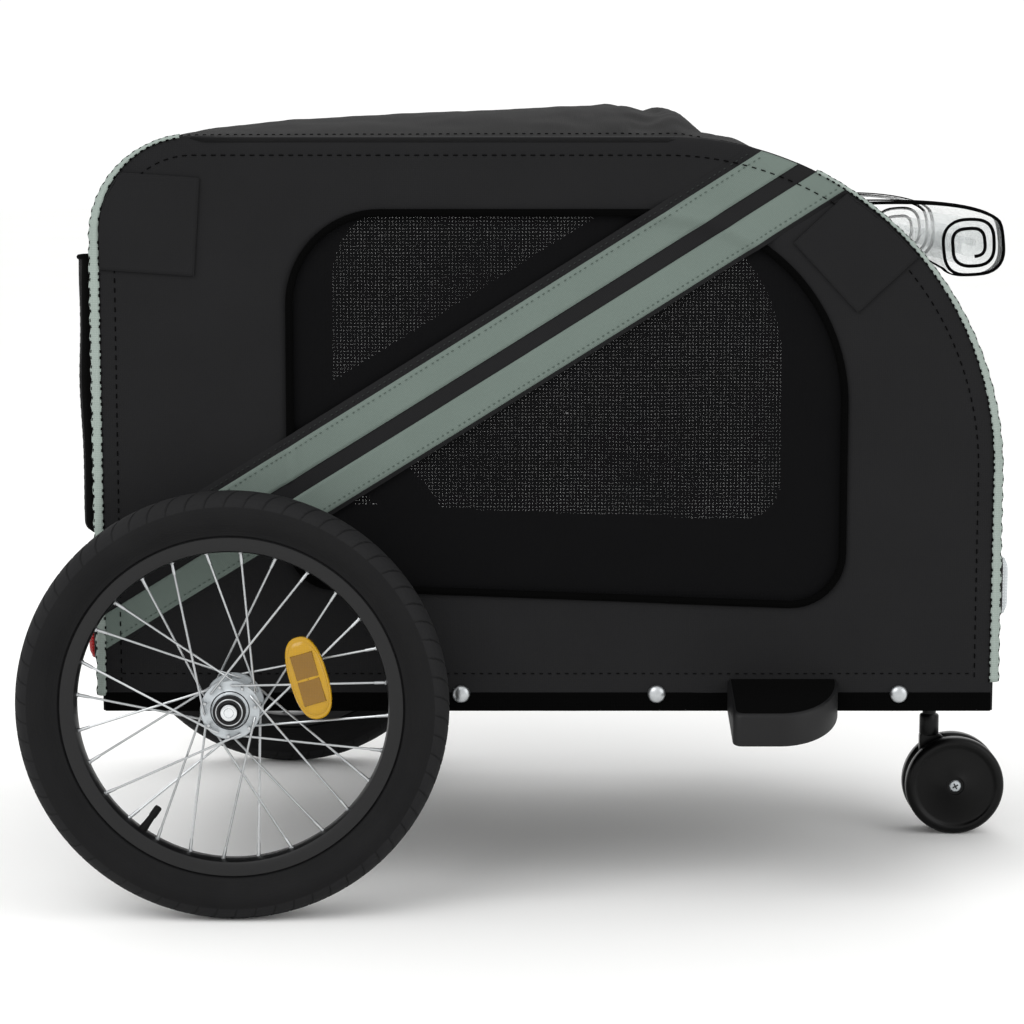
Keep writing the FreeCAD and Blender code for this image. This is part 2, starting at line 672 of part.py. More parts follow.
def rear_panel():
    """Return the rear wall with its door opening."""
    half = DOOR_WIDTH / 2
    wall = end_skin().common(box((REAR_X, ROOF_REAR_X), (-HALF_BODY, HALF_BODY), (BOTTOM_Z, TOP_Z)))
    top_z = DOOR_BOTTOM_Z + REAR_DOOR_HEIGHT
    return wall.cut(box((REAR_X, REAR_X + FABRIC), (-half, half), (DOOR_BOTTOM_Z, top_z)))


def rear_door():
    """Return the rear door, sewn to the wall along its lower edge."""
    half = DOOR_WIDTH / 2 - DOOR_GAP
    top_z = DOOR_BOTTOM_Z + REAR_DOOR_HEIGHT - DOOR_GAP
    return box((REAR_X, REAR_X + FABRIC), (-half, half), (DOOR_BOTTOM_Z + SEAT, top_z))


def rear_pocket():
    """Return the open-topped pocket on the rear door, rounded below."""
    top_z = DOOR_BOTTOM_Z + REAR_DOOR_HEIGHT - POCKET_FROM_TOP
    solids = []
    for wall in (0.0, FABRIC):
        low_z = top_z - POCKET_HEIGHT + wall
        far_x = REAR_X - POCKET_DEPTH + wall
        corners = ((REAR_X, low_z), (far_x, low_z), (far_x, top_z), (REAR_X, top_z))
        face = side_face(corners, (0.0, POCKET_DEPTH - 2 * FABRIC, 0.0, 0.0))
        half = POCKET_WIDTH / 2 - wall
        solids.append(side_plate(face, -half, half))
    return solids[0].cut(solids[1])


def front_band(half, low_z, angle, gap):
    """Return the part of the front wall between a height and an angle on its curve."""
    top_x, top_z = front_point(angle, 0.0)
    reach = box((top_x - FRONT_CORNER_RADIUS, FRONT_X), (-half, half), (low_z, top_z - gap))
    return end_skin().common(reach)


def front_door():
    """Return the front mesh door, sewn to the wall along its lower edge."""
    return front_band(DOOR_WIDTH / 2 - DOOR_GAP, DOOR_BOTTOM_Z + SEAT, FRONT_DOOR_TOP_ANGLE, DOOR_GAP)


def front_panel():
    """Return the front wall with its door opening."""
    wall = end_skin().common(box((ROOF_FRONT_X, FRONT_X), (-HALF_BODY, HALF_BODY), (BOTTOM_Z, TOP_Z)))
    return wall.cut(front_band(DOOR_WIDTH / 2, DOOR_BOTTOM_Z, FRONT_DOOR_TOP_ANGLE, 0.0))


def edge_trims():
    """Return the raised trims along the left edges of the rear and front walls."""
    low_z = BOTTOM_Z + HEM_HEIGHT
    raised = side_plate(body_face(-TRIM_THICKNESS, BOTTOM_Z), HALF_BODY - TRIM_WIDTH, HALF_BODY)
    skin = raised.cut(side_plate(body_face(0.0, BOTTOM_Z), HALF_BODY - TRIM_WIDTH, HALF_BODY))
    front_x, front_z = front_point(FRONT_TRIM_TOP_ANGLE, 0.0)
    y_range = (HALF_BODY - TRIM_WIDTH, HALF_BODY)
    rear = skin.common(box((REAR_X - TRIM_THICKNESS, REAR_X), y_range, (low_z, REAR_ARC_Z)))
    front = skin.common(box((front_x, FRONT_X + TRIM_THICKNESS), y_range, (low_z, front_z)))
    return [rear, front]


def roll_centre():
    """Return (x, z) of the rolled cover's axis, held off the front curve."""
    return front_point(ROLL_ANGLE, ROLL_STAND_OFF)


def spiral(shift, steps):
    """Return the roll's corners from its top round the front and inwards, moved out by a shift."""
    x, z = roll_centre()
    corners = []
    for k in range(steps + 1):
        reach = ROLL_RADIUS - ROLL_PITCH * k / ROLL_FLATS + shift
        angle = 2 * math.pi * k / ROLL_FLATS
        corners.append(vec(x + reach * math.sin(angle), 0, z + reach * math.cos(angle)))
    return corners


def wall_point(z):
    """Return the point just off the front curve at a height."""
    reach = FRONT_CORNER_RADIUS + SEAT
    return vec(FRONT_ARC_X + math.sqrt(reach ** 2 - (z - FRONT_ARC_Z) ** 2), 0, z)


def rain_cover():
    """Return the clear cover: a flap from the front wall that ends in a roll."""
    steps = ROLL_TURNS * ROLL_FLATS
    outer = spiral(FILM / 2, steps)
    inner = spiral(-FILM / 2, steps)
    flap_low = wall_point(inner[0].z)
    flap_top = vec(flap_low.x, 0, outer[0].z)
    corners = [flap_top] + outer + inner[::-1] + [flap_low, flap_top]
    return side_plate(Part.Face(Part.makePolygon(corners)), -ROLL_WIDTH / 2, ROLL_WIDTH / 2)


def cover_strap():
    """Return the left strap that holds the roll up against the front wall."""
    steps = ROLL_FLATS // 2 + 1
    loops = []
    for shift in (SEAT, SEAT + STRAP_THICKNESS):
        corners = spiral(FILM / 2 + shift, steps)
        hold = wall_point(corners[steps - 1].z + STRAP_HOLD_RISE)
        loops.append([wall_point(corners[0].z)] + corners + [hold])
    inner, outer = loops
    face = Part.Face(Part.makePolygon(outer + inner[::-1] + outer[:1]))
    middle = STRAP_SPACING / 2
    return side_plate(face, middle - STRAP_WIDTH / 2, middle + STRAP_WIDTH / 2)


def end_reflector(face_x, direction, rise):
    """Return a left reflector that stands on the trim at one end of the cabin."""
    low_z = BOTTOM_Z + rise
    centre_y = HALF_BODY - REFLECTOR_INSET
    half = REFLECTOR_WIDTH / 2
    near_x = face_x + direction * TRIM_THICKNESS
    x_range = sorted((near_x, near_x + direction * REFLECTOR_THICKNESS))
    return box(x_range, (centre_y - half, centre_y + half), (low_z, low_z + REFLECTOR_HEIGHT))


# Road wheels, drawn about the hub's middle with the outer end towards +Y

def flat_ring(profile, flats):
    """Return the ring that a closed profile of (radius, y) corners sweeps about the Y axis, in flats."""
    rows = []
    for k in range(flats + 1):
        angle = 2 * math.pi * (k + 0.5) / flats
        across = vec(math.cos(angle), 0, math.sin(angle)) * (1 / math.cos(math.pi / flats))
        rows.append([across * radius + Y_AXIS * y for radius, y in profile])
    faces = []
    for row, following in zip(rows, rows[1:]):
        for k in range(len(profile)):
            corners = [row[k - 1], row[k], following[k], following[k - 1], row[k - 1]]
            faces.append(Part.Face(Part.makePolygon(corners)))
    shell = Part.makeShell(faces)
    shell.sewShape()
    ring_solid = Part.makeSolid(shell)
    if ring_solid.Volume < 0:
        ring_solid.reverse()
    return ring_solid.removeSplitter()


def tyre():
    """Return the tyre casing, with its beads on the rim's lips."""
    half = TYRE_WIDTH / 2
    tread = TREAD_WIDTH / 2
    bead = BEAD_WIDTH / 2
    middle = WHEEL_RADIUS - half
    seat = RIM_DIAMETER / 2 + SEAT
    crown = WHEEL_RADIUS - TYRE_WALL
    inner = half - TYRE_WALL
    profile = ((seat, -bead - TYRE_WALL), (middle, -half), (WHEEL_RADIUS, -tread), (WHEEL_RADIUS, tread),
               (middle, half), (seat, bead + TYRE_WALL), (seat, bead), (middle, inner), (crown, 0),
               (middle, -inner), (seat, -bead))
    return flat_ring(profile, WHEEL_FLATS)


def radial_bar(angle, low, high, radius):
    """Return a bar that points out from the wheel's axis."""
    turn = math.radians(angle)
    out = vec(math.cos(turn), 0, math.sin(turn))
    return flat_bar(out * low, out * (high - low), radius, PIN_FLATS)


def valve():
    """Return the valve stem that stands through the rim towards the hub."""
    bed = RIM_BED_DIAMETER / 2
    return radial_bar(VALVE_ANGLE, bed - VALVE_LENGTH, bed + RIM_WALL, VALVE_DIAMETER / 2)


def rim():
    """Return the rim: a hoop with a groove that the tyre seats over."""
    half = RIM_WIDTH / 2
    bed = RIM_BED_DIAMETER / 2
    outer = RIM_DIAMETER / 2
    profile = ((bed, -half), (bed, half), (outer, half), (bed + RIM_WALL, 0), (outer, -half))
    hoop = flat_ring(profile, WHEEL_FLATS)
    return hoop.cut(radial_bar(VALVE_ANGLE, bed - RIM_WALL, outer, VALVE_DIAMETER / 2 + SEAT))


def polar(radius, angle, y):
    """Return a point at a radius and angle about the wheel's axis."""
    turn = math.radians(angle)
    return vec(radius * math.cos(turn), y, radius * math.sin(turn))


def flange_overhang():
    """Return how far an outer spoke stands off its flange, so that it clears the flange's edge."""
    chord = math.sqrt((FLANGE_DIAMETER / 2 + SPOKE_DIAMETER) ** 2 - (SPOKE_CIRCLE_DIAMETER / 2) ** 2)
    return chord * (FLANGE_SPACING / 2 + 2 * FLANGE_THICKNESS) / (RIM_BED_DIAMETER / 2)


def spoke(flange_side, lead, clearance):
    """Return one spoke with its bent end, thickened by a clearance."""
    step = 360.0 / SPOKE_COUNT
    rim_angle = LACING_PHASE + (0 if flange_side > 0 else step) + (0 if lead > 0 else 2 * step)
    hub_angle = rim_angle + lead * 2 * step * SPOKE_CROSSES
    flange_y = flange_side * FLANGE_SPACING / 2
    inside = FLANGE_THICKNESS / 2 + SPOKE_DIAMETER / 2 + SLIDING
    outside = inside + flange_overhang()
    hub_radius = SPOKE_CIRCLE_DIAMETER / 2
    elbow_off, head_off = (outside, inside) if lead > 0 else (inside, outside)
    elbow = polar(hub_radius, hub_angle, flange_y + lead * flange_side * elbow_off)
    head = polar(hub_radius, hub_angle, flange_y - lead * flange_side * head_off)
    bed = polar(RIM_BED_DIAMETER / 2 - SEAT * 2, rim_angle, flange_side * RIM_HOLE_SPREAD / 2)
    bend = (head - elbow).normalize()
    hook_start = elbow - bend * (SPOKE_DIAMETER / 2)
    hook_end = head + bend * SPOKE_HEAD_LENGTH
    radius = SPOKE_DIAMETER / 2 + clearance
    hook = flat_bar(hook_start, hook_end - hook_start, radius, SPOKE_SIDES)
    return flat_bar(elbow, bed - elbow, radius, SPOKE_SIDES).fuse(hook)


def spokes(clearance):
    """Return all spokes of a wheel, laced in crossing pairs on both flanges."""
    bars = []
    pairs = SPOKE_COUNT // 4
    for flange_side in (1, -1):
        for lead in (1, -1):
            bar = spoke(flange_side, lead, clearance)
            for k in range(pairs):
                turned = bar.copy()
                turned.rotate(ORIGIN, Y_AXIS, -360.0 * k / pairs)
                bars.append(turned)
    return Part.makeCompound(bars)


def hub():
    """Return the hub shell with its drilled flanges, drawn with one flat per spoke."""
    half = HUB_LENGTH / 2
    step = 360.0 / SPOKE_COUNT
    shell = flat_bar(vec(0, -half, 0), Y_AXIS * HUB_LENGTH, HUB_BARREL_DIAMETER / 2, SPOKE_COUNT)
    holes = [flat_hole(vec(0, -half, 0), Y_AXIS * HUB_LENGTH, AXLE_DIAMETER / 2 + RUNNING, ROUND_FLATS)]
    for side in (1, -1):
        low_y = side * FLANGE_SPACING / 2 - FLANGE_THICKNESS / 2
        run = Y_AXIS * FLANGE_THICKNESS
        shell = shell.fuse(flat_bar(vec(0, low_y, 0), run, FLANGE_DIAMETER / 2, SPOKE_COUNT))
        for k in range(SPOKE_COUNT // 2):
            angle = LACING_PHASE + 2 * step * k + (0 if side > 0 else step)
            start = polar(SPOKE_CIRCLE_DIAMETER / 2, angle, low_y)
            holes.append(flat_hole(start, run, SPOKE_DIAMETER / 2 + SLIDING, SPOKE_SIDES))
    return shell.cut(Part.makeCompound(holes)).removeSplitter()


def spoke_reflector():
    """Return the oval reflector, grooved where it snaps over the spokes."""
    centre = polar(SPOKE_REFLECTOR_RADIUS, SPOKE_REFLECTOR_ANGLE, 0)
    corners = []
    for k in range(BUTTON_FLATS + 1):
        angle = 2 * math.pi * k / BUTTON_FLATS
        corners.append(vec(SPOKE_REFLECTOR_WIDTH / 2 * math.cos(angle), 0,
                           SPOKE_REFLECTOR_LENGTH / 2 * math.sin(angle)))
    face = Part.Face(Part.makePolygon(corners))
    face.rotate(ORIGIN, Y_AXIS, -SPOKE_REFLECTOR_LEAN)
    face.translate(centre)
    run = (RIM_BED_DIAMETER - SPOKE_CIRCLE_DIAMETER) / 2
    share = (SPOKE_REFLECTOR_RADIUS - SPOKE_CIRCLE_DIAMETER / 2) / run
    spoke_y = FLANGE_SPACING / 2 + (RIM_HOLE_SPREAD - FLANGE_SPACING) / 2 * share
    plate = side_plate(face, spoke_y, spoke_y + SPOKE_REFLECTOR_THICKNESS)
    return plate.cut(spokes(SLIDING))


def placed_wheel(shape, side):
    """Return a wheel piece at its side of the trailer."""
    moved = shape.copy()
    moved.translate(vec(AXLE_X, HALF_TRACK, AXLE_Z))
    return on_side(moved, side)


def axle():
    """Return the left axle: a pin with a broad head that keeps the wheel on."""
    head_y = HUB_OUTER_Y + SEAT
    start = vec(AXLE_X, RAIL_INNER_Y - AXLE_SOCKET_DEPTH + AXLE_STAND_OFF, AXLE_Z)
    pin = flat_bar(start, Y_AXIS * (head_y - start.y), AXLE_DIAMETER / 2, ROUND_FLATS)
    head_start = vec(AXLE_X, head_y, AXLE_Z)
    head = flat_bar(head_start, Y_AXIS * AXLE_HEAD_LENGTH, AXLE_HEAD_DIAMETER / 2, ROUND_FLATS)
    recess_start = head_start + Y_AXIS * (AXLE_HEAD_LENGTH - BUTTON_RECESS)
    recess = flat_hole(recess_start, Y_AXIS * BUTTON_RECESS, BUTTON_DIAMETER / 2 + SLIDING, BUTTON_FLATS)
    return pin.fuse(head).cut(recess)


def release_button():
    """Return the left push button, standing proud by its travel."""
    face_y = HUB_OUTER_Y + SEAT + AXLE_HEAD_LENGTH + BUTTON_TRAVEL
    length = BUTTON_RECESS - SEAT
    start = vec(AXLE_X, face_y - length, AXLE_Z)
    return flat_bar(start, Y_AXIS * length, BUTTON_DIAMETER / 2, BUTTON_FLATS)


# Caster

def caster_body():
    """Return the swivelling stem, its collar and the web between the wheels."""
    web_half = CASTER_WHEEL_GAP / 2 - SIDE_PLAY
    axle_x = STEM_X + CASTER_TRAIL
    socket_z = RAIL_BOTTOM_Z - CASTER_SOCKET_DROP
    collar_z = CASTER_DIAMETER
    top_z = socket_z + CASTER_STEM_ENGAGEMENT
    stem = rod(vec(STEM_X, 0, collar_z), Z_AXIS, CASTER_STEM_DIAMETER / 2, top_z - collar_z)
    collar_half = CASTER_COLLAR_DIAMETER / 2
    collar = flat_bar(vec(STEM_X, 0, collar_z), Z_AXIS * CASTER_COLLAR_DIAMETER, collar_half, ROUND_FLATS)
    boss = CASTER_COLLAR_DIAMETER
    corners = ((STEM_X - collar_half, CASTER_RADIUS), (STEM_X - collar_half, collar_z),
               (STEM_X + collar_half, collar_z), (axle_x + boss, CASTER_RADIUS + boss),
               (axle_x + boss, CASTER_RADIUS - boss), (STEM_X, CASTER_RADIUS - boss))
    web = side_plate(side_face(corners, (0.0,) * 6), -web_half, web_half)
    hole_start = vec(axle_x, -web_half, CASTER_RADIUS)
    hole = flat_hole(hole_start, Y_AXIS * (2 * web_half), CASTER_AXLE_DIAMETER / 2 + SLIDING, BUTTON_FLATS)
    return stem.fuse(collar).fuse(web).cut(hole).removeSplitter()


def caster_half():
    """Return the distance from the caster's middle to a wheel's outer face."""
    return CASTER_WHEEL_GAP / 2 + CASTER_WHEEL_WIDTH


def caster_axle():
    """Return the bolt through both caster wheels, with a head in each dished face."""
    centre_x = STEM_X + CASTER_TRAIL
    seat_y = caster_half() - CASTER_DISH_DEPTH + SEAT
    start = vec(centre_x, -seat_y, CASTER_RADIUS)
    shaft = flat_bar(start, Y_AXIS * (2 * seat_y), CASTER_AXLE_DIAMETER / 2, BUTTON_FLATS)
    head_start = vec(centre_x, seat_y, CASTER_RADIUS)
    head = flat_bar(head_start, Y_AXIS * CASTER_BOLT_HEIGHT, CASTER_BOLT_DIAMETER / 2, BUTTON_FLATS)
    return shaft.fuse(head).fuse(mirrored(head))


def caster_wheel():
    """Return the left caster wheel: an eased tread round a dished outer face."""
    radius = CASTER_RADIUS
    low_y = CASTER_WHEEL_GAP / 2
    high_y = caster_half()
    edge = CASTER_TREAD_EDGE
    bore = CASTER_AXLE_DIAMETER / 2 + RUNNING
    dish = radius - CASTER_RIM_WIDTH
    floor_y = high_y - CASTER_DISH_DEPTH
    profile = ((bore, low_y), (radius, low_y), (radius, high_y - edge), (radius - edge, high_y),
               (dish, high_y), (dish, floor_y), (bore, floor_y))
    wheel = flat_ring(profile, CASTER_FLATS)
    wheel.translate(vec(STEM_X + CASTER_TRAIL, 0, radius))
    return wheel


def chassis_nodes():
    """Return the welded chassis and what is fixed to it."""
    brackets = []
    for side in (1, -1):
        for foot_x in FOOT_XS:
            brackets.append(on_side(foot_bracket(foot_x, FOOT_RISE[side]), side))
    rail = side_rail()
    tubes = [cross_tube(AXLE_X + MID_TUBE_FROM_AXLE), cross_tube(REAR_X + CROSS_TUBE_FROM_REAR)]
    return {
        "side_rail_left": rail.fuse(drawbar_socket()).removeSplitter(),
        "side_rail_right": mirrored(rail),
        "front_cross_tube": front_cross_tube(),
        "floor_cross_tubes": Part.makeCompound(tubes),
        "axle_beam": cross_tube(AXLE_X),
        "axle_sockets": both_sides(axle_socket()),
        "floor_board": floor_board(),
        "frame_hinge_brackets": Part.makeCompound(brackets),
        "side_deflectors": both_sides(side_deflector()),
    }


def frame_nodes():
    """Return the folding side frames, the roof bows and the clips that join them."""
    nodes = {"ridge_clips": Part.makeCompound([ridge_clip(share) for share in BOW_SHARES])}
    for side, side_name in SIDE_NAMES.items():
        nodes["side_frame_" + side_name] = on_side(side_frame(side), side)
        for place, share in zip(("rear", "front"), BOW_SHARES):
            nodes[place + "_bow_" + side_name] = on_side(roof_bow(share, side), side)
    return nodes


def cabin_nodes():
    """Return the fabric cabin, its doors and what is sewn or fastened to it."""
    panel = side_panel()
    patches = corner_patches()
    stripes = [stripe(index).cut(Part.makeCompound(patches)) for index in (0, 1)]
    trims = edge_trims()
    studs = [hem_stud(share) for share in STUD_SHARES]
    return {
        "side_panel_left": panel,
        "side_panel_right": mirrored(panel),
        "side_windows": both_sides(side_window()),
        "side_stripes": Part.makeCompound(stripes + [mirrored(band) for band in stripes]),
        "corner_patches": Part.makeCompound(patches + [mirrored(patch) for patch in patches]),
        "hem_studs": Part.makeCompound(studs + [mirrored(stud) for stud in studs]),
        "edge_trims": Part.makeCompound(trims + [mirrored(trim) for trim in trims]),
        "roof_panel": roof_panel(),
        "rear_panel": rear_panel(),
        "front_panel": front_panel(),
        "rear_door": rear_door(),
        "rear_pocket": rear_pocket(),
        "front_door": front_door(),
        "rain_cover": rain_cover(),
        "cover_straps": both_sides(cover_strap()),
        "front_reflectors": both_sides(end_reflector(FRONT_X, 1, FRONT_REFLECTOR_RISE)),
        "rear_reflectors": both_sides(end_reflector(REAR_X, -1, REAR_REFLECTOR_RISE)),
    }


def wheel_nodes():
    """Return both road wheels with their axles and release buttons."""
    pieces = {
        "tyre": tyre(),
        "valve": valve(),
        "rim": rim(),
        "spokes": spokes(0.0),
        "hub": hub(),
        "spoke_reflector": spoke_reflector(),
    }
    pin = axle()
    button = release_button()
    nodes = {}
    for side, side_name in SIDE_NAMES.items():
        for name, shape in pieces.items():
            nodes[name + "_" + side_name] = placed_wheel(shape, side)
        nodes["axle_" + side_name] = on_side(pin, side)
        nodes["release_button_" + side_name] = on_side(button, side)
    return nodes


def caster_nodes():
    """Return the caster's swivelling body, its bolt and its two wheels."""
    wheel = caster_wheel()
    return {
        "caster_body": caster_body(),
        "caster_axle": caster_axle(),
        "caster_wheel_left": wheel,
        "caster_wheel_right": mirrored(wheel),
    }


def main():
    """Build every piece and write it to its own file."""
    os.makedirs("parts", exist_ok=True)
    nodes = {}
    for build in (chassis_nodes, frame_nodes, cabin_nodes, wheel_nodes, caster_nodes):
        nodes.update(build())
    for name, shape in nodes.items():
        shape.exportStep("parts/" + name + ".step")
    print(len(nodes), "nodes")


main()
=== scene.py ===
"""Looks of a dog bike trailer: fabric, net, film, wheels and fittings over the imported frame.

Lengths in this file are millimetres in the part's frame until a mesh is built.
"""

import json
import logging
import math
from bisect import bisect_right
from collections.abc import Callable, Sequence
from dataclasses import dataclass, field
from enum import Enum
from typing import Self

import bmesh
import bpy
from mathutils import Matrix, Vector, noise

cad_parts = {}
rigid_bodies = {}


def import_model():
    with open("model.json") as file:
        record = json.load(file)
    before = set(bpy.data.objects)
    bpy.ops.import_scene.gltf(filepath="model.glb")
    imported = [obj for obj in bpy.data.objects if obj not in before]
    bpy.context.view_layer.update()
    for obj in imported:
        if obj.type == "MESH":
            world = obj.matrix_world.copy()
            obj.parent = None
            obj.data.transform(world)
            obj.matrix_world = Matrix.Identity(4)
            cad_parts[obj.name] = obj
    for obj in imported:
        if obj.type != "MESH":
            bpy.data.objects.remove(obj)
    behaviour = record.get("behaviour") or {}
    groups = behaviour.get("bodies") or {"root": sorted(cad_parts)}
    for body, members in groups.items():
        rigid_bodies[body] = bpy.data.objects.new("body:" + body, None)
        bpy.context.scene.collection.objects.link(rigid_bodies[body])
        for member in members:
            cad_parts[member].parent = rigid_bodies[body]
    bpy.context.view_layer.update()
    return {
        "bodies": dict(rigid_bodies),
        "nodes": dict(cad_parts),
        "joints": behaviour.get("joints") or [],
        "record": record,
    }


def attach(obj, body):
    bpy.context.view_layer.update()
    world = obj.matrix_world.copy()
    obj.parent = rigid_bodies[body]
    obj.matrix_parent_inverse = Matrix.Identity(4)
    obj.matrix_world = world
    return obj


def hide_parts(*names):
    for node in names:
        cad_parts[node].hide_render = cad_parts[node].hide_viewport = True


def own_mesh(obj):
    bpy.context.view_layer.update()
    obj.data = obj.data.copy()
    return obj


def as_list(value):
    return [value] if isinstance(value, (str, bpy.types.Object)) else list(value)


LOG = logging.getLogger("trailer")

Point = tuple[float, float, float]
Flat = tuple[float, float]
Profile = tuple[Flat, ...]
Normal = Callable[[Point], Vector]
# A point (x, z) of an end wall with its outward direction
Wall = tuple[float, float, float, float]

MM = 0.001
AXLE_X = -284.5
AXLE_Z = 200.0
CLOTH = 1.2
SEAM_LIFT = 0.7
SMOOTH_ANGLE = 38.0
CRISP_ANGLE = 30.0

# Patterns that finishes share, in mm
SLUB, CLOUD, STREAK, STAIN = 1.3, 70.0, 5.0, 45.0
CREASE = 0.25
NET_SQUARE = 3.3
NET_LIMITS = (0.08, 0.26)
FILM_BODY = (0.12, 0.62)


class Side(Enum):
    """A side of the trailer, with the sign of its Y."""

    LEFT = 1
    RIGHT = -1

    @property
    def label(self) -> str:
        """Return the side's name in node and body names."""
        return self.name.lower()

    @property
    def fold(self) -> str:
        """Return the fold joint of this side's frame."""
        return f"side_frame_{self.label}_fold"

    @property
    def out(self) -> Vector:
        """Return the direction away from the trailer's middle."""
        return Vector((0.0, self.value, 0.0))


# The fold of the frame that folds last, given to fabric that spans both sides
SOFT = Side.RIGHT.fold


class End(Enum):
    """An end of the cabin, with the sign of its X."""

    REAR = -1
    FRONT = 1

    @property
    def label(self) -> str:
        """Return the end's name in node and body names."""
        return self.name.lower()


class Kind(Enum):
    """How a finish is shaded."""

    CLOTH = "cloth"
    NET = "net"
    FILM = "film"
    METAL = "metal"
    PLASTIC = "plastic"
    RUBBER = "rubber"
    LENS = "lens"


@dataclass(frozen=True)
class Finish:
    """One surface finish.

    Args:
        stuff: The material, by its common name and how its surface was made.
        slot: Material slot of the record.
        kind: How it is shaded.
        dark: Darker sRGB colour.
        light: Lighter sRGB colour.
        rough: Middle roughness.
        pitch: Size of its main pattern in mm.
        relief: Height of its main pattern in mm.
        gloss: Specular level.
    """

    stuff: str
    slot: str
    kind: Kind
    dark: str
    light: str
    rough: float
    pitch: float
    relief: float
    gloss: float


FINISHES: dict[str, Finish] = {
    # Coated polyester, plain woven: dull black, an even thread and soft creases.
    # Its thread is drawn at 1.7 mm, about three times its real size, so that it shows
    "fabric": Finish("coated_polyester_woven", "black_fabric", Kind.CLOTH, "#101011", "#212122", 0.86, 1.7, 0.13, 0.12),
    # The roof's copy of the cloth is darker and has less sheen: painted shade for its top, which faces the light
    "roof": Finish("coated_polyester_sunlit", "black_fabric", Kind.CLOTH, "#0c0c0d", "#191919", 0.9, 1.7, 0.13, 0.08),
    # A near black copy of the cloth: painted shade for the pocket's gussets, which sit in the pocket's shade
    "shaded_gusset_fabric": Finish("coated_polyester_doubled", "black_fabric", Kind.CLOTH, "#030303", "#080808",
                     0.9, 1.7, 0.13, 0.02),
    # Polyester ribbon, closely woven and dyed: soft grey green with little sheen.
    # Its thread is drawn coarser than it is, as the cloth's
    "sage": Finish("polyester_ribbon_sage", "grey_fabric", Kind.CLOTH, "#545f59", "#727d77", 0.88, 1.5, 0.1, 0.12),
    "trim": Finish("polyester_binding_pale", "grey_fabric", Kind.CLOTH, "#78837d", "#a2aca6", 0.88, 2.2, 0.25, 0.1),
    # Polypropylene webbing, woven from thick yarn: deep black with a coarse rib
    "webbing": Finish("polypropylene_webbing", "webbing", Kind.CLOTH, "#010101", "#070707", 0.85, 2.6, 0.3, 0.02),
    # Polyester thread, twisted: short dull dashes
    "thread": Finish("polyester_thread_black", "webbing", Kind.CLOTH, "#020202", "#080808", 0.85, 0.6, 0.05, 0.02),
    "grey_thread": Finish("polyester_thread_grey", "webbing", Kind.CLOTH, "#262928", "#383c3a", 0.85, 0.6, 0.05, 0.05),
    "sage_thread": Finish("polyester_thread_sage", "grey_fabric", Kind.CLOTH, "#3a443f", "#525d57",
                          0.85, 0.6, 0.05, 0.05),
    # Polyester net, knitted: fine holes in faint squares, which let light through
    "net": Finish("polyester_net_knitted", "mesh", Kind.NET, "#060607", "#0f0f10", 0.8, 0.7, 0.08, 0.05),
    # PVC film, calendered: clear, milky where it is crumpled
    "film": Finish("pvc_film_calendered", "clear_film", Kind.FILM, "#eef1f0", "#ffffff", 0.18, 16.0, 1.0, 0.5),
    # Steel tube, powder coated: even satin black
    "frame": Finish("steel_powder_coated", "black_frame", Kind.PLASTIC, "#090909", "#131314", 0.42, 1.2, 0.03, 0.3),
    # Steel, zinc plated or chromed: grey, faintly mottled, brighter where polished
    "steel": Finish("steel_zinc_plated", "steel", Kind.METAL, "#9a9d9f", "#cfd1d2", 0.36, 3.0, 0.02, 0.5),
    "chrome": Finish("steel_chromed", "chrome", Kind.METAL, "#bfc2c4", "#e6e8e9", 0.2, 6.0, 0.01, 0.5),
    # Brass, stamped and nickel plated: warm grey with one soft highlight
    "stud": Finish("brass_nickel_plated", "chrome", Kind.METAL, "#9da0a2", "#c3c6c8", 0.34, 5.0, 0.01, 0.5),
    # Aluminium, die cast: soft grey with broad highlights
    "hub": Finish("aluminium_die_cast", "hub_alloy", Kind.METAL, "#a6abae", "#c9ced1", 0.5, 1.4, 0.015, 0.5),
    # Aluminium, extruded and anodised black: satin with a faint grain
    "rim": Finish("aluminium_anodised_black", "rim_alloy", Kind.PLASTIC, "#070708", "#111112", 0.38, 1.5, 0.02, 0.3),
    # Rubber, moulded and vulcanised: near black with fine rings from the mould
    "tyre": Finish("rubber_vulcanised", "tyre", Kind.RUBBER, "#070708", "#101011", 0.75, 2.6, 0.08, 0.18),
    "tread": Finish("rubber_scuffed", "tyre", Kind.RUBBER, "#111112", "#1e1e1f", 0.85, 2.6, 0.06, 0.2),
    "valve": Finish("rubber_moulded_stem", "valve_rubber", Kind.PLASTIC, "#050505", "#0e0e0e", 0.65, 1.0, 0.04, 0.15),
    # Polypropylene, injection moulded: black, from satin to polished. Its darkest, dullest copy is painted shade for
    # the deflectors' tops
    "plastic": Finish("polypropylene_moulded", "black_plastic", Kind.PLASTIC, "#060607", "#111112",
                      0.5, 0.9, 0.05, 0.25),
    "matt": Finish("polypropylene_spark_textured", "black_plastic", Kind.PLASTIC, "#020202", "#070707",
                   0.85, 0.9, 0.08, 0.04),
    "caster": Finish("polypropylene_polished", "caster_plastic", Kind.PLASTIC, "#020202", "#070707",
                     0.3, 2.0, 0.02, 0.16),
    # Acrylic, injection moulded over prisms: deep colour with small bright cells
    "amber": Finish("acrylic_amber", "amber", Kind.LENS, "#9d7506", "#bd9310", 0.22, 1.5, 0.06, 0.3),
    "amber_field": Finish("acrylic_amber_prisms", "amber", Kind.LENS, "#6b4a04", "#87610c", 0.3, 1.5, 0.15, 0.3),
    "clear_lens": Finish("acrylic_clear_prisms", "clear_reflector", Kind.LENS, "#9aa0a3", "#d8dcde",
                         0.14, 3.0, 0.35, 0.5),
    "red_lens": Finish("acrylic_red_prisms", "red_reflector", Kind.LENS, "#7d0a0c", "#c01a1c", 0.16, 3.0, 0.35, 0.4),
}

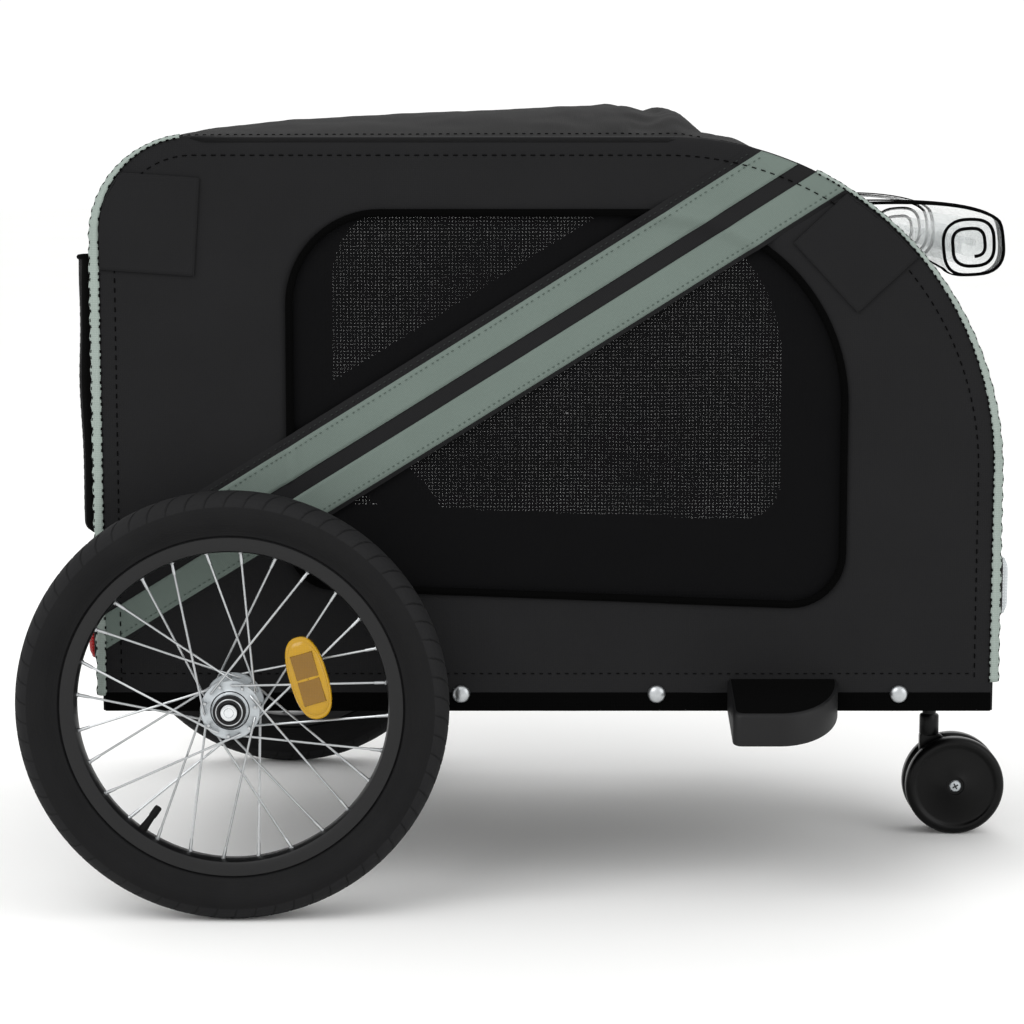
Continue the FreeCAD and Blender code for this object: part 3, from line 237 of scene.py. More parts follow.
# Solids that are shown as they are, by finish
CARRIED: dict[str, tuple[str, ...]] = {
    "frame": ("side_rail_left", "side_rail_right", "front_cross_tube", "floor_cross_tubes", "axle_beam",
              "side_frame_left", "side_frame_right", "rear_bow_left", "rear_bow_right", "front_bow_left",
              "front_bow_right"),
    "steel": ("axle_sockets", "frame_hinge_brackets"),
    "plastic": ("floor_board",),
}


def srgb(code: str) -> tuple[float, float, float, float]:
    """Turn an sRGB hex code into a linear colour.

    Args:
        code: Colour such as "#1c1c1d".

    Returns:
        Linear red, green, blue and alpha.
    """
    parts = [int(code[k:k + 2], 16) / 255 for k in (1, 3, 5)]
    linear = [c / 12.92 if c <= 0.04045 else ((c + 0.055) / 1.055) ** 2.4 for c in parts]
    return linear[0], linear[1], linear[2], 1.0


class Shader:
    """A material's node tree while it is put together."""

    def __init__(self, name: str) -> None:
        """Start an empty material.

        Args:
            name: The material's name.
        """
        self.material = bpy.data.materials.new(name)
        self.material.use_nodes = True
        self.tree = self.material.node_tree
        self.tree.nodes.clear()

    def add(self, kind: str, inputs: dict | None = None, out: int | str = 0,
            **settings: object) -> bpy.types.NodeSocket | None:
        """Add one node with its settings and links.

        Args:
            kind: Node type after "ShaderNode".
            inputs: Values or sockets by input name or index.
            out: The output that is wanted.
            settings: Attributes of the node.

        Returns:
            That output, or nothing where the node has none.
        """
        node = self.tree.nodes.new("ShaderNode" + kind)
        for key, value in settings.items():
            setattr(node, key, value)
        for key, value in (inputs or {}).items():
            if isinstance(value, bpy.types.NodeSocket):
                self.tree.links.new(value, node.inputs[key])
            else:
                node.inputs[key].default_value = value
        return node.outputs[out] if node.outputs else None


def lines_per(pitch: float) -> float:
    """Return the scale that gives waves a pitch in mm."""
    return math.pi / 10 / (pitch * MM)


def cells_per(size: float) -> float:
    """Return the scale that gives noise a size in mm."""
    return 1 / (size * MM)


def cloth_material(finish: Finish) -> bpy.types.Material:
    """Make woven cloth, or a net when the finish is one.

    Args:
        finish: Its colours and thread pitch.

    Returns:
        The material.
    """
    shader = Shader(finish.stuff)
    add = shader.add
    uv = add("UVMap", uv_map="cloth")
    warp, weft = (add("TexWave", {"Vector": uv, "Scale": lines_per(finish.pitch)}, 1, bands_direction=way)
                  for way in "XY")
    weave = add("Math", {0: warp, 1: weft}, operation="MULTIPLY")
    slub = add("TexNoise", {"Vector": uv, "Scale": cells_per(SLUB), "Detail": 2.0})
    cloud = add("TexNoise", {"Vector": uv, "Scale": cells_per(CLOUD), "Detail": 5.0})
    thread = add("Mix", {0: 0.55, 2: weave, 3: slub})
    tone = add("Mix", {0: 0.25, 2: thread, 3: cloud})
    colour = add("Mix", {0: tone, 6: srgb(finish.dark), 7: srgb(finish.light)}, 2, data_type="RGBA")
    streaked = add("Mapping", {"Vector": uv, "Scale": (1.0, 0.12, 1.0)})
    streaks = add("TexNoise", {"Vector": streaked, "Scale": cells_per(STREAK), "Detail": 3.0})
    creases = add("Bump", {"Height": streaks, "Distance": CREASE * MM, "Strength": 1.0})
    normal = add("Bump", {"Height": thread, "Distance": finish.relief * MM, "Strength": 1.0, "Normal": creases})
    rough = add("MapRange", {"Value": slub, "To Min": finish.rough - 0.1, "To Max": finish.rough + 0.1})
    surface = add("BsdfPrincipled", {
        "Base Color": colour, "Roughness": rough, "Normal": normal, "Sheen Weight": 0.2 * finish.gloss,
        "Sheen Roughness": 0.5, "Specular IOR Level": finish.gloss,
    })
    if finish.kind is Kind.NET:
        across, along = (add("TexWave", {"Vector": uv, "Scale": lines_per(NET_SQUARE)}, 1, bands_direction=way)
                         for way in "XY")
        squares = add("Math", {0: across, 1: along}, operation="MAXIMUM")
        limit = add("MapRange", {"Value": squares, "To Min": NET_LIMITS[0], "To Max": NET_LIMITS[1]})
        strands = add("Math", {0: warp, 1: weft}, operation="MAXIMUM")
        threads = add("Math", {0: strands, 1: limit}, operation="GREATER_THAN")
        surface = add("MixShader", {0: threads, 1: add("BsdfTransparent"), 2: surface})
    add("OutputMaterial", {"Surface": surface})
    return shader.material


def film_material(finish: Finish) -> bpy.types.Material:
    """Make clear crumpled film.

    Args:
        finish: Its tints and the size of its crumples.

    Returns:
        The material.
    """
    shader = Shader(finish.stuff)
    add = shader.add
    place = add("TexCoord", out="Object")
    crumple = add("TexNoise", {"Vector": place, "Scale": cells_per(finish.pitch), "Detail": 5.0})
    cloud = add("TexNoise", {"Vector": place, "Scale": cells_per(finish.pitch * 3), "Detail": 3.0})
    colour = add("Mix", {0: crumple, 6: srgb(finish.dark), 7: srgb(finish.light)}, 2, data_type="RGBA")
    gloss = add("BsdfPrincipled", {
        "Base Color": colour, "Roughness": finish.rough, "Specular IOR Level": finish.gloss,
        "Normal": add("Bump", {"Height": crumple, "Distance": finish.relief * MM, "Strength": 1.0}),
    })
    clear = add("BsdfTransparent", {"Color": srgb("#fbfcfc")})
    milk = add("Math", {0: crumple, 1: cloud}, operation="MULTIPLY")
    body = add("MapRange", {"Value": milk, "To Min": FILM_BODY[0], "To Max": FILM_BODY[1]})
    add("OutputMaterial", {"Surface": add("MixShader", {0: body, 1: clear, 2: gloss})})
    return shader.material


def solid_material(finish: Finish) -> bpy.types.Material:
    """Make metal, moulded plastic, rubber or a reflector's lens.

    Args:
        finish: Its colours, roughness and pattern.

    Returns:
        The material.
    """
    shader = Shader(finish.stuff)
    add = shader.add
    scale = lines_per(finish.pitch)
    place = add("TexCoord", out="Object")
    grain = add("TexNoise", {"Vector": place, "Scale": cells_per(finish.pitch), "Detail": 4.0})
    cloud = add("TexNoise", {"Vector": place, "Scale": cells_per(STAIN), "Detail": 4.0})
    tone = add("Mix", {0: 0.5, 2: grain, 3: cloud})
    height = grain
    inputs: dict[str, object] = {"Specular IOR Level": finish.gloss}
    if finish.kind is Kind.METAL:
        inputs["Metallic"] = 1.0
    elif finish.kind is Kind.RUBBER:
        about = add("Mapping", {"Vector": place, "Location": (-AXLE_X * MM, 0.0, -AXLE_Z * MM)})
        rings = add("TexWave", {"Vector": about, "Scale": scale}, 1, wave_type="RINGS", rings_direction="Y")
        height = add("Math", {0: rings, 1: grain}, operation="ADD")
    elif finish.kind is Kind.LENS:
        across, up = (add("TexWave", {"Vector": place, "Scale": scale}, 1, bands_direction=way) for way in "XZ")
        height = add("Math", {0: across, 1: up}, operation="MULTIPLY")
        tone = add("Mix", {0: 0.6, 2: height, 3: cloud})
        inputs |= {"Coat Weight": 0.35, "Coat Roughness": 0.06}
    inputs["Base Color"] = add("Mix", {0: tone, 6: srgb(finish.dark), 7: srgb(finish.light)}, 2, data_type="RGBA")
    inputs["Roughness"] = add("MapRange", {"Value": cloud, "To Min": finish.rough * 0.8, "To Max": finish.rough * 1.2})
    inputs["Normal"] = add("Bump", {"Height": height, "Distance": finish.relief * MM, "Strength": 1.0})
    add("OutputMaterial", {"Surface": add("BsdfPrincipled", inputs)})
    return shader.material


# What makes each kind's material, where that isn't solid_material
MAKERS = {Kind.CLOTH: cloth_material, Kind.NET: cloth_material, Kind.FILM: film_material}


def wander(x: float, y: float, z: float, size: float) -> float:
    """Return smooth noise from -1 to 1 with a size in mm."""
    return noise.noise(Vector((x / size, y / size, z / size)))


def blend(low: float, high: float, share: float) -> float:
    """Return a value between two."""
    return low + (high - low) * share


def limited(share: float) -> float:
    """Return a share kept from 0 to 1."""
    return min(1.0, max(0.0, share))


def steps(low: float, high: float, count: int) -> list[float]:
    """Return evenly spaced values, both ends among them."""
    return [blend(low, high, k / count) for k in range(count + 1)]


def circle(count: int) -> list[float]:
    """Return evenly spaced angles round a circle."""
    return [2 * math.pi * k / count for k in range(count)]


def mirrored(half: Sequence[Flat]) -> list[Flat]:
    """Return a profile that ends in its middle, followed by its mirror image."""
    return [*half, *((r, -y) for r, y in reversed(half[:-1]))]


def divided(path: Sequence[Sequence[float]], step: float) -> list:
    """Divide the long runs of a path.

    Args:
        path: Points of any dimension.
        step: Largest distance between points.

    Returns:
        The path with more points.
    """
    made = [tuple(path[0])]
    for start, end in zip(path, path[1:]):
        length = math.dist(start, end)
        if length < 1e-6:
            continue
        count = max(1, math.ceil(length / step))
        for k in range(1, count + 1):
            made.append(tuple(blend(a, b, k / count) for a, b in zip(start, end)))
    return made


def rounded_loop(corners: Sequence[Flat], radii: Sequence[float], step: float) -> list[Flat]:
    """Round a closed outline's corners and divide it.

    Args:
        corners: Outline corners.
        radii: Radius at each corner.
        step: Largest distance between points.

    Returns:
        The outline's points, in order and not closed.
    """
    points: list[Flat] = []
    for k, radius in enumerate(radii):
        corner = Vector(corners[k])
        if radius <= 0:
            points.append(tuple(corner))
            continue
        before = (Vector(corners[k - 1]) - corner).normalized()
        after = (Vector(corners[(k + 1) % len(corners)]) - corner).normalized()
        half = before.angle(after) / 2
        centre = corner + (before + after).normalized() * (radius / math.sin(half))
        start = corner + before * (radius / math.tan(half)) - centre
        end = corner + after * (radius / math.tan(half)) - centre
        turn = math.atan2(start.x * end.y - start.y * end.x, start.dot(end))
        for angle in steps(0.0, turn, max(4, math.ceil(abs(turn) * radius / step))):
            c, s = math.cos(angle), math.sin(angle)
            points.append((centre.x + (start.x * c - start.y * s), centre.y + (start.x * s + start.y * c)))
    return divided(points + points[:1], step)[:-1]


def radial_match(loop: Sequence[Flat], centre: Flat, targets: Sequence[Flat]) -> list[Flat]:
    """Find the loop's points in the same directions as some targets.

    Args:
        loop: A convex outline.
        centre: The point that directions are taken from.
        targets: Points around it.

    Returns:
        One point on the loop for each target.
    """
    ordered = sorted((math.atan2(z - centre[1], x - centre[0]), x, z) for x, z in loop)
    angles = [row[0] for row in ordered]
    found = []
    for x, z in targets:
        angle = math.atan2(z - centre[1], x - centre[0])
        high = bisect_right(angles, angle) % len(ordered)
        first, second = ordered[high - 1], ordered[high]
        span = (second[0] - first[0]) % (2 * math.pi) or 1e-9
        share = ((angle - first[0]) % (2 * math.pi)) / span
        found.append((blend(first[1], second[1], share), blend(first[2], second[2], share)))
    return found


@dataclass(frozen=True)
class Cabin:
    """The cabin's shape, which its walls share: a side outline with two round corners, and slack cloth on it."""

    rear_x: float = -411.0
    front_x: float = 424.0
    bottom_z: float = 185.0
    top_z: float = 720.0
    half: float = 285.0
    rear_radius: float = 90.0
    front_radius: float = 310.0
    hem_top: float = 202.0
    roof_round: float = 11.0
    round_span: Flat = (-330.0, 240.0)
    round_fades: Flat = (60.0, 130.0)
    cloth_lift: float = 0.6
    tight_edge: float = 70.0
    slack: tuple[Point, ...] = ((2.2, 0.0, 190.0), (1.1, 40.0, 75.0), (0.4, 80.0, 28.0))

    def wall(self, end: End) -> float:
        """Return the X of an end wall."""
        return self.rear_x if end is End.REAR else self.front_x

    def arc(self, end: End) -> tuple[Flat, float]:
        """Return the middle and the radius of an end's top corner."""
        radius = self.rear_radius if end is End.REAR else self.front_radius
        return (self.wall(end) - end.value * radius, self.top_z - radius), radius

    def rise(self, end: End, low: float, high: float, count: int) -> list[Wall]:
        """Return points up an end wall between two heights."""
        return [(self.wall(end), z, float(end.value), 0.0) for z in steps(low, high, count)]

    def bend(self, end: End, low: float, high: float, count: int) -> list[Wall]:
        """Return points round an end's top corner.

        Args:
            end: Which end.
            low: Angle of the first point in degrees.
            high: Angle of the last point.
            count: How many steps are between them.

        Returns:
            The points with their outward directions.
        """
        hub, radius = self.arc(end)
        turns = [(math.cos(a), math.sin(a)) for a in steps(math.radians(low), math.radians(high), count)]
        return [(hub[0] + radius * c, hub[1] + radius * s, c, s) for c, s in turns]

    def corner_x(self, z: float, lift: float) -> float:
        """Return the X of the front corner at a height, raised by a lift."""
        hub, radius = self.arc(End.FRONT)
        return hub[0] + math.sqrt((radius + lift) ** 2 - (z - hub[1]) ** 2)

    def outline(self, inset: float, step: float) -> list[Flat]:
        """Draw the side outline from rear bottom round the top to front bottom.

        Args:
            inset: How far inside the cabin's edge it runs.
            step: Largest distance between points.

        Returns:
            Its points.
        """
        rear, front, top = self.rear_x + inset, self.front_x - inset, self.top_z - inset
        corners = ((rear, self.bottom_z), (rear, top), (front, top), (front, self.bottom_z))
        return rounded_loop(corners, (0.0, self.rear_radius - inset, self.front_radius - inset, 0.0), step)

    def depth(self, x: float, z: float) -> float:
        """Measure how far a point lies inside the side outline.

        Args:
            x: The point's place along the cabin.
            z: Its height.

        Returns:
            The distance, negative outside the outline.
        """
        reach = min(x - self.rear_x, self.front_x - x, self.top_z - z)
        for end in End:
            hub, radius = self.arc(end)
            if (x - hub[0]) * end.value > 0 and z > hub[1]:
                reach = radius - math.hypot(x - hub[0], z - hub[1])
        return min(reach, z - self.bottom_z)

    def edge_height(self, x: float) -> float:
        """Measure the side outline's height.

        Args:
            x: A place along the roof.

        Returns:
            The height there.
        """
        for end in End:
            hub, radius = self.arc(end)
            if (x - hub[0]) * end.value > 0:
                return hub[1] + math.sqrt(radius ** 2 - (x - hub[0]) ** 2)
        return self.top_z

    def relief(self, x: float, z: float) -> float:
        """Return how far the slack side fabric stands out at a point."""
        slack = sum(height * wander(x, seed, z, size) for height, seed, size in self.slack)
        return self.cloth_lift + slack * limited(self.depth(x, z) / self.tight_edge)

    def tuck(self, x: float, z: float) -> float:
        """Measure how far the side leans in where it rounds over into the roof.

        Args:
            x: A place along the cabin.
            z: Its height.

        Returns:
            The distance inwards.
        """
        short = self.roof_round - self.depth(x, z)
        if short <= 0 or z < self.arc(End.REAR)[0][1]:
            return 0.0
        ends = min((x - self.round_span[0]) / self.round_fades[0], (self.round_span[1] - x) / self.round_fades[1])
        share = min(1.0, short / self.roof_round)
        return self.roof_round * (1 - math.sqrt(1 - share ** 2)) * limited(ends)

    def end_out(self, spot: Point) -> Vector:
        """Find the outward direction of the nearer end wall.

        Args:
            spot: A point on it.

        Returns:
            The direction.
        """
        x, _, z = spot
        end = End.REAR if x < 0 else End.FRONT
        hub, _ = self.arc(end)
        if z < hub[1]:
            return Vector((end.value, 0, 0))
        return Vector((x - hub[0], 0, z - hub[1])).normalized()


CABIN = Cabin()


@dataclass
class Surface:
    """Mesh data in mm that grows piece by piece. What adds to it gives it back."""

    points: list[Point] = field(default_factory=list)
    faces: list[tuple[int, ...]] = field(default_factory=list)
    uvs: list[Flat] = field(default_factory=list)

    def grid(self, rows: Sequence[Sequence[Point]], wrap: bool = False,
             uvs: Sequence[Sequence[Flat]] | None = None, skip: Callable[[Point], bool] | None = None) -> Self:
        """Add a grid of quads.

        Args:
            rows: Rows of points of equal length.
            wrap: Close each row into a ring.
            uvs: Cloth coordinates in mm, or None to take them from the points.
            skip: Leave out a quad whose middle this accepts.

        Returns:
            This surface.
        """
        base, width = len(self.points), len(rows[0])
        for k, row in enumerate(rows):
            self.points.extend(row)
            self.uvs.extend(uvs[k] if uvs else [(x + 0.6 * y, z + 0.5 * y) for x, y, z in row])
        for low in range(base, base + (len(rows) - 1) * width, width):
            for c in range(width if wrap else width - 1):
                after = (c + 1) % width
                face = (low + c, low + after, low + width + after, low + width + c)
                if not (skip and skip(tuple(sum(self.points[i][a] for i in face) / 4 for a in range(3)))):
                    self.faces.append(face)
        return self

    def cap(self, *rings: Sequence[Point]) -> Self:
        """Close each ring with one face.

        Args:
            rings: Points round each ring.

        Returns:
            This surface.
        """
        for ring in rings:
            self.faces.append(tuple(range(len(self.points), len(self.points) + len(ring))))
            self.points.extend(ring)
            self.uvs.extend((x, z) for x, _, z in ring)
        return self

    def lathe(self, profile: Sequence[Flat], origin: Sequence[float], axis: Sequence[float], count: int) -> Self:
        """Turn a profile about an axis.

        Args:
            profile: Radius and distance along the axis, point by point.
            origin: Where the distance along the axis is nought.
            axis: The axis's direction.
            count: Points round each ring.

        Returns:
            This surface.
        """
        turn = Vector(axis).to_track_quat("Z", "Y")
        return self.grid([[tuple(Vector(origin) + turn @ Vector((radius * math.cos(a), radius * math.sin(a), along)))
                           for a in circle(count)] for radius, along in profile], wrap=True)

    def tube(self, path: Sequence[Point], radius: float, sides: int, closed: bool = False) -> Self:
        """Sweep a circle along a path.

        Args:
            path: Points along the middle.
            radius: The circle's radius.
            sides: Points round the circle.
            closed: Join the end to the start.

        Returns:
            This surface.
        """
        spots = [Vector(p) for p in path]
        count = len(spots)
        up = Vector((0.13, 0.31, 0.94)).normalized()
        rows = []
        for k, spot in enumerate(spots):
            before = spots[k - 1] if closed or k else spot
            after = spots[(k + 1) % count] if closed or k < count - 1 else spot
            run = (after - before).normalized()
            across = run.cross(up).normalized()
            up = across.cross(run).normalized()
            rows.append([tuple(spot + (across * math.cos(a) + up * math.sin(a)) * radius) for a in circle(sides)])
        if closed:
            return self.grid(rows + rows[:1], wrap=True)
        return self.cap(rows[0], rows[-1]).grid(rows, wrap=True)

    def block(self, centre: Vector, axes: Sequence[Vector], taper: float = 1.0) -> Self:
        """Add a block.

        Args:
            centre: Its middle.
            axes: Half its length, width and height as vectors.
            taper: Size of its top face against its bottom.

        Returns:
            This surface.
        """
        base = len(self.points)
        for up, size in ((-1, 1.0), (1, taper)):
            for a, b in ((-1, -1), (1, -1), (1, 1), (-1, 1)):
                spot = centre + axes[0] * (a * size) + axes[1] * (b * size) + axes[2] * up
                self.points.append(tuple(spot))
                self.uvs.append((spot.x, spot.z))
        for face in ((3, 2, 1, 0), (4, 5, 6, 7), (0, 1, 5, 4), (1, 2, 6, 5), (2, 3, 7, 6), (3, 0, 4, 7)):
            self.faces.append(tuple(base + i for i in face))
        return self

    def stitches(self, path: Sequence[Point], normal: Normal, length: float = 4.6, gap: float = 2.6,
                 width: float = 0.55) -> Self:
        """Lay a row of stitches along a path.

        Args:
            path: Points on the cloth.
            normal: The cloth's outward direction at a point.
            length: Length of a stitch.
            gap: Distance between stitches.
            width: Half a stitch's width.

        Returns:
            This surface.
        """
        lift, rise, taper = 0.3, 0.45, 0.75
        carried = 0.0
        for start, end in zip(path, path[1:]):
            first, run = Vector(start), Vector(end) - Vector(start)
            reach = run.length
            if reach < 1e-6:
                continue
            run.normalize()
            while carried + length <= reach:
                middle = first + run * (carried + length / 2)
                out = normal(tuple(middle))
                self.block(middle + out * lift, (run * (length / 2), run.cross(out) * width, out * rise), taper)
                carried += length + gap
            carried = max(0.0, carried - reach)
        return self

    def ribbon(self, path: Sequence[Point], normal: Normal, half: float, lift: float) -> Self:
        """Lay a flat tape along a path.

        Args:
            path: Points along its middle.
            normal: The outward direction at a point.
            half: Half its width.
            lift: How far it stands off the path.

        Returns:
            This surface.
        """
        shares = (-1.0, -0.6, 0.0, 0.6, 1.0)
        rows, uvs, along = [], [], 0.0
        for k, spot in enumerate(path):
            before, after = path[max(0, k - 1)], path[min(len(path) - 1, k + 1)]
            out = normal(spot)
            across = (Vector(after) - Vector(before)).normalized().cross(out).normalized()
            along += math.dist(spot, before)
            rows.append([tuple(Vector(spot) + across * (half * s) + out * (lift * (1 - 0.5 * abs(s) ** 4)))
                         for s in shares])
            uvs.append([(along, half * s) for s in shares])
        return self.grid(rows, uvs=uvs)

    def lens(self, centre: Vector, axes: Sequence[Vector], power: float, dome: float, count: int = 48) -> Self:
        """Add a rounded lens with a rim.

        Args:
            centre: Middle of its back.
            axes: Half its width, half its height, and its whole depth, as vectors.
            power: Roundness of its outline, 2 for an ellipse.
            dome: Share of the depth that the face is domed by.
            count: Points round it.

        Returns:
            This surface.
        """
        edge = [(math.copysign(abs(c) ** (2 / power), c), math.copysign(abs(s) ** (2 / power), s))
                for c, s in ((math.cos(a), math.sin(a)) for a in circle(count))]
        rings = ((0.94, 0.0), (1.0, 0.06), (1.0, 0.5), (0.97, 0.62), (0.90, 0.64), (0.88, 0.72),
                 (0.78, 1.0 - dome * 0.5), (0.55, 1.0 - dome * 0.2), (0.28, 1.0), (0.02, 1.0))
        rows = [[tuple(centre + axes[0] * (u * size) + axes[1] * (v * size) + axes[2] * depth) for u, v in edge]
                for size, depth in rings]
        return self.grid(rows, wrap=True).cap(rows[0])

    def area(self) -> float:
        """Measure the surface.

        Returns:
            The area of all faces in square metres.
        """
        total = 0.0
        for face in self.faces:
            spots = [Vector(self.points[i]) for i in face]
            for a, b in zip(spots[1:], spots[2:]):
                total += (a - spots[0]).cross(b - spots[0]).length / 2
        return total * MM * MM

    def build(self, name: str, material: bpy.types.Material, sharp: float) -> bpy.types.Object:
        """Make the object.

        Args:
            name: The object's name.
            material: Its material.
            sharp: Angle in degrees above which an edge stays sharp.

        Returns:
            The object, in metres.
        """
        mesh = bpy.data.meshes.new(name)
        mesh.from_pydata([(x * MM, y * MM, z * MM) for x, y, z in self.points], [], self.faces)
        layer = mesh.uv_layers.new(name="cloth")
        for loop in mesh.loops:
            u, v = self.uvs[loop.vertex_index]
            layer.data[loop.index].uv = (u * MM, v * MM)
        working = bmesh.new()
        working.from_mesh(mesh)
        bmesh.ops.recalc_face_normals(working, faces=working.faces)
        working.to_mesh(mesh)
        working.free()
        mesh.polygons.foreach_set("use_smooth", [True] * len(mesh.polygons))
        mesh.set_sharp_from_angle(angle=math.radians(sharp))
        mesh.materials.append(material)
        made = bpy.data.objects.new(name, mesh)
        bpy.context.scene.collection.objects.link(made)
        return made


@dataclass
class Workshop:
    """Finishes, and the one way a piece is added to the part."""

    materials: dict[str, bpy.types.Material] = field(default_factory=dict)
    made: list[bpy.types.Object] = field(default_factory=list)

    def __post_init__(self) -> None:
        """Make every finish's material."""
        for name, finish in FINISHES.items():
            self.materials[name] = MAKERS.get(finish.kind, solid_material)(finish)

    def piece(self, name: str, surface: Surface, finish: str, body: str = "chassis", nodes: Sequence[str] = (),
              fold: str | None = None, thick: float = 0.0, sharp: float = SMOOTH_ANGLE) -> bpy.types.Object:
        """Build a piece and let it ride on its body.

        Args:
            name: The piece's name.
            surface: Its mesh in mm.
            finish: Name of its finish.
            body: The body it rides on.
            nodes: The solids it stands for.
            fold: A fold joint for a soft piece; when one is given, the piece gets a mesh of its own.
            thick: Thickness given to a single sheet.
            sharp: Angle in degrees above which an edge stays sharp.

        Returns:
            The object.
        """
        made = surface.build(name, self.materials[finish], sharp)
        if thick:
            modifier = made.modifiers.new("thickness", "SOLIDIFY")
            modifier.thickness = thick * MM
            modifier.offset = 0.0
        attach(made, body)
        if nodes:
            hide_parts(*nodes)
        if fold:
            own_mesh(made)
        self.made.append(made)
        return made

    def carry(self, frame: dict) -> None:
        """Give the solids that stay their finishes.

        Args:
            frame: The loaded frame.
        """
        for finish, nodes in CARRIED.items():
            for node in nodes:
                shown = frame["nodes"][node].data.materials
                shown.clear()
                shown.append(self.materials[finish])


@dataclass
class SideWall:
    """One side of the cabin: panel, window, band, patches, hem, studs and trims."""

    shop: Workshop
    side: Side
    panel_inset: float = 0.6
    axle_gap: Flat = (14.0, 15.0)
    window_corners: Profile = ((-233.0, 304.0), (-233.0, 650.0), (281.0, 650.0), (281.0, 284.0))
    window_radii: tuple[float, ...] = (40.0, 85.0, 178.0, 48.0)
    window_centre: Flat = (24.0, 465.0)
    net_depth: float = 2.4
    net_lap: float = 0.02
    net_reach: Flat = (270.0, 195.0)
    wrinkle_centre: Flat = (205.0, 325.0)
    wrinkle_size: Flat = (90.0, 50.0)
    wrinkle_wave: float = 13.0
    wrinkle_height: float = 2.6
    piping_radius: float = 3.6
    bridge_rise: float = 6.4
    bridge_reach: float = 9.0
    band_start: Flat = (-229.5, 437.0)
    band_slope: float = math.radians(31.7)
    band_width: float = 71.0
    band_laps: Flat = (9.0, 4.0)
    stripe_width: float = 28.0
    stripe_tops: Flat = (0.0, 43.0)
    band_seam: float = 4.5
    # Name, middle, turn in degrees, half width and half height
    patch_sizes: tuple = (("rear", (-362.0, 640.0), -4.0, 45.0, 45.0), ("front", (290.5, 617.0), 43.0, 39.0, 44.0))
    patch_edge: float = 4.0
    hem_profile: Profile = ((-0.8, 184.5), (2.2, 184.5), (2.9, 188.0), (2.9, 199.0), (1.6, 202.0))
    stud_xs: tuple[float, ...] = (-75.0, 108.5, 336.0)
    stud_profile: Profile = ((8.6, 0.0), (8.6, 0.5), (8.3, 1.4), (7.4, 2.8), (5.9, 4.0), (3.9, 4.8), (1.8, 5.2),
                             (0.05, 5.3))
    trim_section: Profile = ((1.9, -3.2), (2.2, 0.0), (1.4, 3.0), (-1.6, 5.4), (-5.0, 6.6), (-11.0, 7.0),
                             (-18.0, 5.8), (-23.0, 3.0), (-24.5, -0.4))
    # End, lowest height, steps up, the bend's two angles and steps round it
    trim_runs: tuple = ((End.REAR, 199.0, 90, 180.0, 97.0, 40), (End.FRONT, 212.0, 42, 0.0, 63.5, 66))
    trim_taper: Flat = (0.32, 0.9)
    seam_inset: float = 17.5
    sewn_names: tuple[str, ...] = ("hem", "trim", "window_piping", "panel_stitches")
    sewn: list[bpy.types.Object] = field(default_factory=list)

    def __post_init__(self) -> None:
        """Divide the window's edge once, because each point of the band is measured from it."""
        self.window_edge = self.window_loop(4.0)

    def window_loop(self, step: float) -> list[Flat]:
        """Return the window's outline, divided by a step."""
        return rounded_loop(self.window_corners, self.window_radii, step)

    def spot(self, x: float, z: float, lift: float = 0.0) -> Point:
        """Return the point on this side's fabric, raised by a lift."""
        return x, self.side.value * (CABIN.half + CABIN.relief(x, z) - CABIN.tuck(x, z) + lift), z

    def out(self, _: Point) -> Vector:
        """Return the side's outward direction."""
        return self.side.out

    def at_axle(self, spot: Point) -> bool:
        """Return whether a point lies in the gap that the axle passes through."""
        return abs(spot[0] - AXLE_X) < self.axle_gap[0] and spot[2] < AXLE_Z + self.axle_gap[1]

    def add(self, name: str, surface: Surface, finish: str, nodes: Sequence[str] = (),
            thick: float = 0.0) -> bpy.types.Object:
        """Add one of this side's pieces.

        Args:
            name: Its name without the side.
            surface: Its mesh.
            finish: Its finish.
            nodes: The solids it stands for.
            thick: Thickness given to a single sheet.

        Returns:
            The object.
        """
        made = self.shop.piece(f"{name}_{self.side.label}", surface, finish, "chassis", nodes, self.side.fold, thick)
        if name.startswith(self.sewn_names):
            self.sewn.append(made)
        return made

    def build(self) -> None:
        """Make everything on this side."""
        cloth, area = self.panel()
        for make in (self.window, self.band, self.patches, self.hem, self.studs, self.trims, self.seams):
            make()
        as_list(self.sewn)

    def panel(self) -> tuple[bpy.types.Object, float]:
        """Make the outer panel round the window.

        Returns:
            The panel and its area in square metres.
        """
        bottom = CABIN.bottom_z
        outer = [p for p in CABIN.outline(self.panel_inset, 8.0) if p[1] > bottom + 0.1]
        outer += divided(((CABIN.front_x - self.panel_inset, bottom), (CABIN.rear_x + self.panel_inset, bottom)), 6.0)
        inner = radial_match(self.window_loop(3.0), self.window_centre, outer)
        flats = [[(blend(a[0], b[0], share ** 1.4), blend(a[1], b[1], share ** 1.4)) for a, b in zip(outer, inner)]
                 for share in steps(0.0, 1.0, 24)]
        cloth = Surface().grid([[self.spot(x, z) for x, z in flat] for flat in flats], wrap=True, uvs=flats,
                               skip=self.at_axle)
        made = self.add("side_cloth", cloth, "fabric", (f"side_panel_{self.side.label}",), CLOTH)
        return made, cloth.area()

    def window(self) -> None:
        """Make the net behind the opening and the piping round it."""
        loop = self.window_loop(8.0)
        flats = [[tuple(blend(v + (v - c) * self.net_lap, c, share) for v, c in zip(spot, self.window_centre))
                  for spot in loop] for share in steps(0.0, 0.995, 24)]
        depth = CABIN.half - self.net_depth
        net = Surface().grid([[(x, self.side.value * (depth + self.net_relief(x, z)), z) for x, z in flat]
                              for flat in flats], wrap=True, uvs=flats)
        made = self.add("window_net", net, "net", ("side_windows",))
        net.area()
        piping = Surface().tube([self.spot(x, z, 1.6) for x, z in loop], self.piping_radius, 10, closed=True)
        self.add("window_piping", piping, "webbing")

